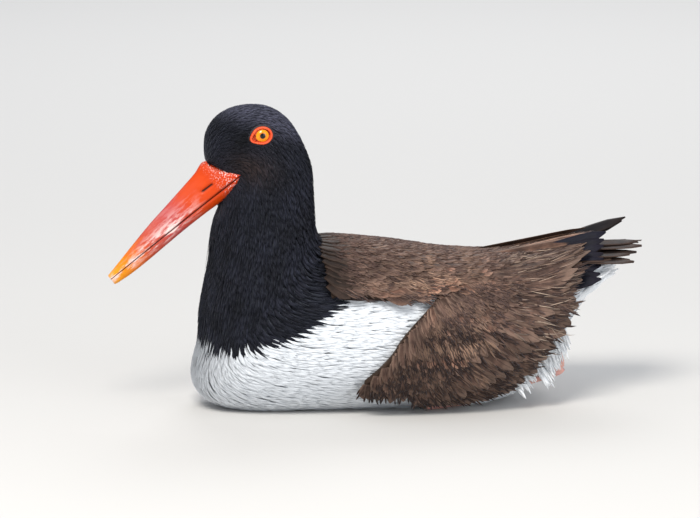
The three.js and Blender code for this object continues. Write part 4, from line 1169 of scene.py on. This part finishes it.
# %% Vent and undertail plumes
white_vane = vane_material("White_undertail_covert", "#e2e6eb", "#eef1f4", "#f6f8fa", 0.3, "#d8dde2", 0.7)
UNDER_ROWS = (9, 8, 6)
under_share = spread_rows((0.8, 0.7, 0.55), UNDER_ROWS)
under_end = in_rows((0.8, 0.7, 0.62), UNDER_ROWS) + 0.05 * rng.random(sum(UNDER_ROWS))
under_drop = in_rows((8.5, 11.5, 15.0), UNDER_ROWS)
fan_mesh("under_tail_coverts",
         *fan_vanes(under_share, under_end - 0.42, under_end, 11.0, under_drop, 0.45, sag=-3.0),
         white_vane, 1.0, "white_plumage")
VENT_PLUMES = 280
UNDERTAIL_PLUMES = 30
HEEL_PLUMES = 120
PLUME_LOWEST = 1.5
for side, word in ((LEFT, "left"), (RIGHT, "right")):
    vent_root = between((-60, side * 41, 16), (-86, side * 34, 54), VENT_PLUMES, 9.0)
    vent_fall = between((-5, side * 0.5, -5), (-7, side * 3.5, -15), VENT_PLUMES, 3.0)
    vent_tip = vent_root + vent_fall
    vent_tip[:, 2] = np.maximum(vent_tip[:, 2], PLUME_LOWEST)
    vent_tones = 0.86 + 0.14 * rng.random((VENT_PLUMES, 1))
    outwards = (-0.35, side * 0.9, 0.1)
    blades(f"vent_{word}_plumes", vent_root, vent_tip, 1.6, outwards, white_vane, vent_tones,
           0.2, -1.2)
    heel_root = between((-74, side * 38, 24), (-88, side * 33, 52), HEEL_PLUMES, 4.0)
    heel_tip = heel_root + between((-8, side * 3.0, -12), (-5, side * 5.5, -20), HEEL_PLUMES, 3.0)
    heel_tones = 0.86 + 0.14 * rng.random((HEEL_PLUMES, 1))
    blades(f"heel_{word}_plumes", heel_root, heel_tip, 1.8, outwards, white_vane, heel_tones,
           0.2, -1.0)
    plume_root = between((-92, side * 26, 58), (-98, side * 12, 70), UNDERTAIL_PLUMES, 4.0)
    plume_tip = between((-116, side * 25, 71), (-131, side * 13, 80), UNDERTAIL_PLUMES, 5.0)
    blades(f"undertail_{word}_plumes", plume_root, plume_tip, 4.0, (0.2, side * 0.95, -0.1), white_vane,
           np.ones((UNDERTAIL_PLUMES, 1)), 0.3, 1.5)

# %% [markdown]
# ## The bill
# Long, straight and deep, flattened from side to side like a chisel, of smooth horn: orange-red at the base,
# pinker in the middle and yellow-orange at the blunt tip. A tapered cone would be too round, because height
# and width shrink at different rates, so a table gives both. Each half is a closed loft of half sections
# along the line of the mouth; the nostril is a slit pressed into the upper one.

# %% Bill surfaces
GAPE = np.array([91.5, 136.3])
BILL_TIP = np.array([167.0, 76.1])
BILL_LENGTH = float(np.linalg.norm(BILL_TIP - GAPE))
BILL_DIR = (BILL_TIP - GAPE) / BILL_LENGTH
BILL_UP = np.array([-BILL_DIR[1], BILL_DIR[0]])
# at, ridge above the mouth line, keel below it, half width
BILL_ROWS = np.array([[0, 4, 3, 9.4], [6, 13, 5.8, 9], [12, 18.2, 6.6, 8.2], [20, 16.1, 6.2, 7],
                      [30, 14.4, 5.6, 5.9], [44, 12.2, 5.3, 4.9], [58, 10.1, 5.4, 4], [73, 7.1, 5.6, 3.1],
                      [85, 4.5, 5.3, 2.5], [BILL_LENGTH - 1.8, 2.4, 4.3, 1.8]])
BILL_RINGS = 150
BILL_SIDES = 128
MOUTH_GAP = 0.14
NOSTRIL = {"from": 14.5, "to": 25.5, "above": 6.2, "height": 0.75, "depth": 1.4, "fold": 0.25}


def bill_half(upper):
    """Half sections: cos for the width, sin^0.9 for the height, flat along the mouth, rounded at the tip."""
    share = np.linspace(0, 1, BILL_RINGS)
    row = smooth_rows(BILL_ROWS, share * (len(BILL_ROWS) - 1))
    tip = np.clip((row[:, 0] - (BILL_LENGTH - 4.5)) / 4.4, 0, 1)
    blunt = np.sqrt(1 - 0.92 * tip ** 3)
    at = row[:, 0] + 1.7 * tip
    turn = np.arange(BILL_SIDES) / BILL_SIDES * 2 * np.pi
    height = (row[:, 1] if upper else row[:, 2]) * blunt
    sine = np.sin(turn)[None, :]
    rise = np.where(sine > 0, np.abs(sine) ** 0.9 * height[:, None], 0.0)
    tomium = np.exp(-((np.abs(np.cos(turn))[None, :] - 1) / 0.06) ** 2) * (sine > 0)
    half = row[:, 3:4] * blunt[:, None] * (1 + 0.05 * tomium)
    y = np.cos(turn)[None, :] * half
    pressed = np.zeros_like(y)
    if upper:
        reach = smooth(at, NOSTRIL["from"], NOSTRIL["from"] + 2)
        reach = reach * smooth(-at, -NOSTRIL["to"], -NOSTRIL["to"] + 3)
        above_slit = rise - (NOSTRIL["above"] + 0.02 * (at - 20))[:, None]
        pressed = reach[:, None] * np.exp(-(above_slit / NOSTRIL["height"]) ** 2) * (sine > 0)
        fold = reach[:, None] * np.exp(-((above_slit - 2.4) / 1.6) ** 2) * (sine > 0)
        y = y - np.sign(y) * NOSTRIL["depth"] * pressed + np.sign(y) * NOSTRIL["fold"] * fold
    offset = np.where(rise > 0.02, rise + MOUTH_GAP, MOUTH_GAP) * (1 if upper else -1)
    side_view = GAPE + at[:, None, None] * BILL_DIR + offset[..., None] * BILL_UP
    points = np.stack([side_view[..., 0], y, side_view[..., 1]], -1)
    along = np.broadcast_to(at[:, None] / BILL_LENGTH, y.shape)
    return points, {"Along": along, "Rise": rise / np.maximum(height[:, None], 0.1), "Pressed": pressed}


def closed_loft(name, rings, material, replaced=(), values=None):
    """A capped tube as a piece, with a value per point of its grid and their mean at each end's middle."""
    points, faces = capped_tube(rings)
    filled = {key: np.concatenate([v.ravel(), [v[0].mean()], [v[-1].mean()]])
              for key, v in (values or {}).items()}
    grid = np.meshgrid(np.linspace(0, 1, rings.shape[0]), np.linspace(0, 1, rings.shape[1]), indexing="ij")
    uv = np.vstack([np.stack(grid, -1).reshape(-1, 2), [[0, 0.5]], [[1, 0.5]]])
    add_mesh(name, points, faces, material, uv={"Skin": uv}, values=filled, replaced=replaced)


print("bill from gape to tip, mm:", round(BILL_LENGTH, 1))

# %% [markdown]
# Horn is keratin too, but solid: smooth and a little translucent, which gives the eye a satin, glowing
# surface. Growth lines about 2 mm apart and 11 mm long run along it, and chalky wear lies near the mouth and
# at the base. Its colours run along the bill, so they read the `Along` value that the mesh carries.

# %% Horn material
GROWTH_LINES_PER_METRE = (90.0, 500.0, 500.0)
# Grit of 0.7 mm, a little coarser than the real scurf, so that it shows.
BASE_GRIT_PER_METRE = 1400.0


def set_stops(ramp, stops):
    """Give a colour ramp its stops, as pairs of position and hex colour; it starts with two of its own."""
    elements = ramp.color_ramp.elements
    for position, _ in stops[2:]:
        elements.new(position)
    for element, (position, code) in zip(elements, stops):
        element.position = position
        element.color = linear(code)


def horn_material():
    """A ramp along the bill, streaked by a noise stretched along it, chalky specks, painted shade in the
    nostril and along the mouth line.
    """
    material, tree, shader = new_material("Bill_horn_satin", Roughness=0.44, Specular_IOR_Level=0.22,
                                          Subsurface_Weight=0.05, Subsurface_Scale=0.002, Coat_Weight=0.03,
                                          Coat_Roughness=0.3)
    along = add_node(tree, "ShaderNodeAttribute", {"attribute_name": "Along"}).outputs["Fac"]
    rise = add_node(tree, "ShaderNodeAttribute", {"attribute_name": "Rise"}).outputs["Fac"]
    pressed = add_node(tree, "ShaderNodeAttribute", {"attribute_name": "Pressed"}).outputs["Fac"]
    place = add_node(tree, "ShaderNodeTexCoord")
    lay = add_node(tree, "ShaderNodeMapping", {"Rotation": (0, math.atan2(BILL_DIR[1], BILL_DIR[0]), 0)},
                   {"Vector": place.outputs["Object"]})
    stretch = add_node(tree, "ShaderNodeMapping", {"Scale": GROWTH_LINES_PER_METRE},
                       {"Vector": lay.outputs[0]})
    streak = add_node(tree, "ShaderNodeTexNoise", {"Scale": 1.0, "Detail": 4.0, "Roughness": 0.6},
                      {"Vector": stretch.outputs[0]})
    shift = add_node(tree, "ShaderNodeMath", {"operation": "MULTIPLY_ADD", 1: 0.22, 2: -0.11},
                     {0: streak.outputs[0]})
    moved = add_node(tree, "ShaderNodeMath", {"operation": "ADD"}, {0: along, 1: shift.outputs[0]})
    ramp = add_node(tree, "ShaderNodeValToRGB", links={0: moved.outputs[0]})
    set_stops(ramp, [(0.0, "#b42f06"), (0.2, "#c83f04"), (0.34, "#c24118"), (0.48, "#b04848"),
                     (0.7, "#b84a34"), (0.84, "#d6700e"), (0.96, "#dc9012")])
    chalk_noise = add_node(tree, "ShaderNodeTexNoise", {"Scale": 0.8, "Detail": 4.0, "Roughness": 0.7},
                           {"Vector": stretch.outputs[0]})
    chalk = add_node(tree, "ShaderNodeMapRange", {"From Min": 0.47, "From Max": 0.6},
                     {"Value": chalk_noise.outputs[0]})
    low = add_node(tree, "ShaderNodeMapRange",
                   {"From Min": 0.75, "From Max": 0.1, "To Min": 0.1, "To Max": 0.95}, {"Value": rise})
    middle = add_node(tree, "ShaderNodeMapRange", {"From Min": 0.25, "From Max": 0.5}, {"Value": along})
    base = add_node(tree, "ShaderNodeMapRange", {"From Min": 0.17, "From Max": 0.08}, {"Value": along})
    grit_noise = add_node(tree, "ShaderNodeTexNoise", {"Scale": BASE_GRIT_PER_METRE, "Detail": 3.0},
                          {"Vector": place.outputs["Object"]})
    grit = add_node(tree, "ShaderNodeMapRange", {"From Min": 0.57, "From Max": 0.64},
                    {"Value": grit_noise.outputs[0]})
    specks = add_node(tree, "ShaderNodeMath", {"operation": "MULTIPLY"},
                      {0: grit.outputs[0], 1: base.outputs[0]})
    low_chalk = add_node(tree, "ShaderNodeMath", {"operation": "MULTIPLY"},
                         {0: chalk.outputs[0], 1: low.outputs[0]})
    streaks = add_node(tree, "ShaderNodeMath", {"operation": "MULTIPLY"},
                       {0: low_chalk.outputs[0], 1: middle.outputs[0]})
    amount = add_node(tree, "ShaderNodeMath", {"operation": "MAXIMUM"},
                      {0: streaks.outputs[0], 1: specks.outputs[0]})
    chalky = add_node(tree, "ShaderNodeMix", {"data_type": "RGBA", 7: linear("#ecd3d0")},
                      {0: amount.outputs[0], 6: ramp.outputs[0]})
    # Painted shade: the pressed nostril slit darkens to a deep red-brown.
    nostril_shade = add_node(tree, "ShaderNodeMapRange", {"From Min": 0.35, "From Max": 0.8}, {"Value": pressed})
    dark = add_node(tree, "ShaderNodeMix", {"data_type": "RGBA", 7: linear("#3a0f06")},
                    {0: nostril_shade.outputs[0], 6: chalky.outputs[2]})
    # Painted shade: a dark red line along the mouth, where the two halves meet.
    mouth_line_shade = add_node(tree, "ShaderNodeMapRange", {"From Min": 0.085, "From Max": 0.01, "To Max": 0.75},
                    {"Value": rise})
    mouth = add_node(tree, "ShaderNodeMix", {"data_type": "RGBA", 7: linear("#5a160a")},
                     {0: mouth_line_shade.outputs[0], 6: dark.outputs[2]})
    tree.links.new(mouth.outputs[2], shader.inputs["Base Color"])
    bump = add_node(tree, "ShaderNodeBump", {"Strength": 0.25, "Distance": 0.0003},
                    {"Height": streak.outputs[0]})
    tree.links.new(bump.outputs[0], shader.inputs["Normal"])
    return material


bill_horn = horn_material()
for upper, word in ((True, "upper"), (False, "lower")):
    rings, bill_values = bill_half(upper)
    closed_loft(f"bill_{word}_horn", rings, bill_horn, (f"bill_{word}",), bill_values)

# %% [markdown]
# ## The eyes
# A yellow-orange iris round a small pupil, in a thick fleshy ring of red-orange skin that is drawn out at its
# lower front corner. The eye's surface is wet, so it is nearly smooth under a clear coat and gives the eye a
# sharp highlight. Colours are rings round the line of sight, with spokes of about half a mm in the iris.

# %% Eyeballs
# Radii in mm; the ramp of colours runs from the line of sight out to RAMP_MM.
PUPIL = 1.5
IRIS = 4.55
RAMP_MM = 5.0
RING_HALF_WIDTH = 5.3
RING_HALF_HEIGHT = 4.55


def eye_material(side):
    """Rings of colour by distance from the line of sight, with fine spokes in the iris."""
    material, tree, shader = new_material(f"Wet_eye_{'left' if side == LEFT else 'right'}", Roughness=0.12,
                                          Specular_IOR_Level=0.3, Coat_Weight=0.3, Coat_Roughness=0.03)
    place = add_node(tree, "ShaderNodeTexCoord")
    centre = tuple(EYE * [1, side, 1] * MM)
    centred = add_node(tree, "ShaderNodeVectorMath", {"operation": "SUBTRACT", 1: centre},
                       {0: place.outputs["Object"]})
    flat = add_node(tree, "ShaderNodeVectorMath", {"operation": "MULTIPLY", 1: (1 / MM, 0.0, 1 / MM)},
                    {0: centred.outputs[0]})
    radius = add_node(tree, "ShaderNodeVectorMath", {"operation": "LENGTH"}, {0: flat.outputs[0]})
    spokes = add_node(tree, "ShaderNodeTexNoise", {"Scale": 2.2, "Detail": 4.0}, {"Vector": flat.outputs[0]})
    scaled = add_node(tree, "ShaderNodeMath", {"operation": "MULTIPLY", 1: 1 / RAMP_MM},
                      {0: radius.outputs["Value"]})
    ramp = add_node(tree, "ShaderNodeValToRGB", links={0: scaled.outputs[0]})
    pupil_edge = PUPIL / RAMP_MM
    set_stops(ramp, [(0.0, "#030202"), (pupil_edge, "#050302"), (pupil_edge + 0.03, "#c96a05"),
                     (0.45, "#e58c06"), (0.68, "#ee9a0c"), (0.82, "#dd7408"), (IRIS / RAMP_MM, "#b93410")])
    level = add_node(tree, "ShaderNodeMapRange", {"To Min": 0.8, "To Max": 1.15},
                     {"Value": spokes.outputs[0]})
    mixed = add_node(tree, "ShaderNodeMix", {"data_type": "RGBA", "blend_type": "MULTIPLY", 0: 1.0},
                     {6: ramp.outputs[0], 7: level.outputs[0]})
    tree.links.new(mixed.outputs[2], shader.inputs["Base Color"])
    return material


def eyeball(side):
    """A sphere: radius * (sin p cos t, cos p, sin p sin t), with its poles on the line of sight."""
    polar = np.linspace(0.02, np.pi - 0.02, 40)[:, None]
    turn = (np.arange(56) / 56 * 2 * np.pi)[None, :]
    polar, turn = np.broadcast_arrays(polar, turn)
    ball = np.stack([np.sin(polar) * np.cos(turn), np.cos(polar), np.sin(polar) * np.sin(turn)], -1)
    return EYE_RADIUS * ball + EYE * [1, side, 1]


def lid_ring(side, scale=1.0, thick=0.85, out=17.3, wrinkles=0.1, deep=1.7):
    """An oval with a corner drawn out as cos^6, carrying an oval section, bowed to the head and beaded."""
    turn = (np.arange(120) / 120 * 2 * np.pi)[:, None]
    section = (np.arange(20) / 20 * 2 * np.pi)[None, :]
    corner = np.maximum(0, np.cos(turn + 0.35)) ** 6 * 1.4
    beads = 1 + wrinkles * np.sin(turn * 30 + 2 * np.sin(section)) * np.maximum(0, np.sin(section))
    wide = np.cos(turn) * (RING_HALF_WIDTH + corner) * scale
    tall = np.sin(turn) * RING_HALF_HEIGHT * scale - corner * 0.9
    bow = 0.03 * (wide ** 2 + tall ** 2)
    reach = np.cos(section) * thick * beads
    y = side * (out - bow - deep + thick + np.sin(section) * deep * beads)
    return np.stack([EYE[0] + wide + np.cos(turn) * reach, y, EYE[2] + tall + np.sin(turn) * reach], -1)


# %% [markdown]
# Eye ring and legs are bare skin. Light goes a mm into it and comes out again, which gives the eye a soft,
# fleshy glow, and moisture gives it a broad, weak shine. Its grain is about 1 mm, a little coarser than the
# real one so that it shows. The ring's form is a section carried round an oval, as for a ring of clay.

# %% Skin of the eye ring and the legs
SKIN_GRAIN_PER_METRE = 900.0


def fleshy_material(name, hex_code, dark_hex, rough):
    """Moist bare skin: a fine noise between two tones, soft light under the surface."""
    material, tree, shader = new_material(name, Roughness=rough, Subsurface_Weight=0.2,
                                          Subsurface_Scale=0.001, Specular_IOR_Level=0.5)
    place = add_node(tree, "ShaderNodeTexCoord")
    noise = add_node(tree, "ShaderNodeTexNoise", {"Scale": SKIN_GRAIN_PER_METRE, "Detail": 3.0},
                     {"Vector": place.outputs["Object"]})
    mixed = add_node(tree, "ShaderNodeMix", {"data_type": "RGBA", 6: linear(hex_code), 7: linear(dark_hex)},
                     {0: noise.outputs[0]})
    tree.links.new(mixed.outputs[2], shader.inputs["Base Color"])
    bump = add_node(tree, "ShaderNodeBump", {"Strength": 0.3, "Distance": 0.0002},
                    {"Height": noise.outputs[0]})
    tree.links.new(bump.outputs[0], shader.inputs["Normal"])
    return material


ring_flesh = fleshy_material("Eye_ring_bare_skin", "#f2602a", "#cc3a14", 0.45)
dusky_skin = fleshy_material("Dusky_skin_round_eye", "#2a2228", "#1c181d", 0.6)


def torus_mesh(name, rings, material, replaced=()):
    """A ring whose rows and columns both wrap."""
    points = rings.reshape(-1, 3)
    faces = facing_out(points, grid_faces(*rings.shape[:2], wrap=True, wrap_rows=True))
    add_mesh(name, points, faces, material, replaced=replaced)


# The web that closes the ring's corner behind the eye's surface: rings shrunk by a share, then back, deeper.
WEB_SHARES = np.array([1.0, 0.8, 0.5, 0.2, 0.2, 0.5, 0.8, 1.0])[:, None, None]
WEB_DEPTHS = np.array([0, 0, 0, 0, -0.6, -0.6, -0.6, -0.6])[:, None, None]

for side, word in ((LEFT, "left"), (RIGHT, "right")):
    closed_loft(f"eyeball_{word}", eyeball(side), eye_material(side), (f"eye_{word}",))
    torus_mesh(f"eye_ring_{word}", lid_ring(side), ring_flesh, (f"eyelid_{word}",))
    torus_mesh(f"eye_rim_{word}", lid_ring(side, 1.2, 0.8, 16.7, 0.05, 1.2), dusky_skin)
    web = lid_ring(side, 0.98, 0.3, 17.1, 0.0, 0.3)[:, 5]
    web_rings = web.mean(0) + (web - web.mean(0)) * WEB_SHARES + WEB_DEPTHS * np.array([0, side, 0])
    closed_loft(f"eye_corner_{word}", web_rings, ring_flesh)

# %% [markdown]
# ## The legs
# Pink, stout and scaly, folded under the belly with the heel showing behind. A bevelled curve would give a
# smooth tube; here each part is a round section carried along a smooth path, worked out as one grid, so that
# the radius can swell at the joints and small ridges across it can be its scutes.

# %% Legs
SHIN = [(-86, 30, 44), (-88, 31, 36), (-89.4, 32.6, 27), (-89.5, 33, 23)]
TARSUS = [(-91.5, 33.2, 23.5), (-86, 32, 20), (-60, 26.5, 11), (-36, 21, 4.4)]
# Each toe's angle outwards in degrees, length and radius
TOES = ((30, 27, 2.5), (2, 35, 2.7), (-26, 29, 2.5))
SCUTE_HEIGHT = 0.05
LOWEST_SCALE = 0.15


def limb(path, radii, side, scutes, rings=60, sides=22):
    """centre + radius * (cos t * across + sin t * over), the radius times 1 + height * |sin| of scutes."""
    share = np.linspace(0, 1, rings)
    centre = smooth_rows(np.array(path, float), share * (len(path) - 1)) * [1, side, 1]
    radius = np.interp(share, np.linspace(0, 1, len(radii)), radii)
    radius = (radius * (1 + SCUTE_HEIGHT * np.abs(np.sin(np.pi * scutes * share))))[:, None, None]
    along = np.gradient(centre, axis=0)
    along /= np.linalg.norm(along, axis=1)[:, None]
    across = np.cross([0, 1, 0], along)
    across /= np.linalg.norm(across, axis=1)[:, None]
    over = np.cross(along, across)
    turn = (np.arange(sides) / sides * 2 * np.pi)[None, :, None]
    points = centre[:, None] + radius * (np.cos(turn) * across[:, None] + np.sin(turn) * over[:, None])
    points[..., 2] = np.maximum(points[..., 2], LOWEST_SCALE)
    return points


def toe(angle, length, radius, side):
    """A limb from the foot outwards at an angle, sinking to its tip and swelling at its joints."""
    ahead = math.cos(math.radians(angle)) * length
    aside = math.sin(math.radians(angle)) * length
    path = [(-38, 21, 2.6), (-36 + ahead / 2, 21 + aside / 2, 2.3), (-36 + ahead, 21 + aside, 1.6)]
    radii = [3.0, radius, radius * 0.86, radius * 0.95, radius * 0.6, 0.9]
    return limb(path, radii, side, 14, 50, 16)


leg_skin = fleshy_material("Leg_scaly_skin_pink", "#dcaaa0", "#c08a80", 0.6)
for side, word in ((LEFT, "left"), (RIGHT, "right")):
    shin = limb(SHIN, [3.0, 2.8, 2.9, 3.7, 3.6], side, 12)
    tarsus = limb(TARSUS, [3.0, 3.6, 2.9, 2.8, 3.4], side, 26)
    closed_loft(f"leg_{word}_shin", shin, leg_skin, (f"leg_{word}",))
    closed_loft(f"leg_{word}_tarsus", tarsus, leg_skin)
    for k, (angle, length, radius) in enumerate(TOES):
        closed_loft(f"leg_{word}_toe_{k}", toe(angle, length, radius, side), leg_skin)

# %% [markdown]
# ## Floor, light and camera
# A pale plain floor, one broad soft light high on the viewer's left, a weaker one from the right, and a grey
# sky. The camera stands at the photograph's angle: 10 degrees above the floor, a little ahead of square on,
# far away with a long lens, as the flat perspective shows.

# %% Stage
TURN = math.radians(10)
LIFT = math.radians(10)
CAMERA_DISTANCE = 5.0
PIXELS_WIDE = 700
MM_PER_PIXEL = 0.58
FRAME_WIDTH_MM = PIXELS_WIDE * MM_PER_PIXEL
SENSOR_WIDTH = 36
RIGHT_AXIS = np.array([-math.cos(TURN), math.sin(TURN), 0])
UP_AXIS = np.array([-math.sin(LIFT) * math.sin(TURN), -math.sin(LIFT) * math.cos(TURN), math.cos(LIFT)])
TOWARDS_CAMERA = np.array([math.sin(TURN) * math.cos(LIFT), math.cos(TURN) * math.cos(LIFT), math.sin(LIFT)])
AIM = (-26.1 * RIGHT_AXIS + 81.8 * UP_AXIS) * MM

floor_points = np.array([[-6, -6, 0], [6, -6, 0], [6, 6, 0], [-6, 6, 0]], float)
floor_mesh = bpy.data.meshes.new("floor")
floor_mesh.from_pydata(floor_points.tolist(), [], [[0, 1, 2, 3]])
floor = bpy.data.objects.new("floor", floor_mesh)
bpy.context.scene.collection.objects.link(floor)
floor_paint = new_material("Floor_matt_paint", Base_Color=linear("#c9c8c6"), Roughness=0.9)[0]
floor_mesh.materials.append(floor_paint)

world = bpy.data.worlds.new("Studio")
bpy.context.scene.world = world
world.use_nodes = True
sky = world.node_tree.nodes["Background"]
sky.inputs["Color"].default_value = linear("#dfe3ea")
sky.inputs["Strength"].default_value = 0.8


def soft_light(name, place, target, size, watts, hex_code="#ffffff"):
    """A square area light at place in metres, turned to look at target."""
    lamp = bpy.data.lights.new(name, "AREA")
    lamp.size = size
    lamp.energy = watts
    lamp.color = linear(hex_code)[:3]
    piece = bpy.data.objects.new(name, lamp)
    bpy.context.scene.collection.objects.link(piece)
    piece.location = place
    direction = Vector(target) - Vector(place)
    piece.rotation_euler = direction.to_track_quat("-Z", "Y").to_euler()


soft_light("key", (0.6, 1.3, 1.6), (0, 0, 0.08), 0.8, 44, "#fffaf2")
soft_light("fill", (-1.0, 1.6, 0.5), (0, 0, 0.06), 1.2, 12)
soft_light("back", (-0.4, -1.6, 1.3), (0, 0, 0.1), 1.0, 14)

camera_data = bpy.data.cameras.new("camera")
camera_data.sensor_width = SENSOR_WIDTH
camera_data.lens = SENSOR_WIDTH * CAMERA_DISTANCE / (FRAME_WIDTH_MM * MM)
camera = bpy.data.objects.new("camera", camera_data)
bpy.context.scene.collection.objects.link(camera)
camera.location = AIM + TOWARDS_CAMERA * CAMERA_DISTANCE
camera.rotation_euler = Vector(-TOWARDS_CAMERA).to_track_quat("-Z", "Y").to_euler()
bpy.context.scene.camera = camera
bpy.context.scene.view_settings.view_transform = "Standard"
print("lens, mm:", round(camera_data.lens, 1))
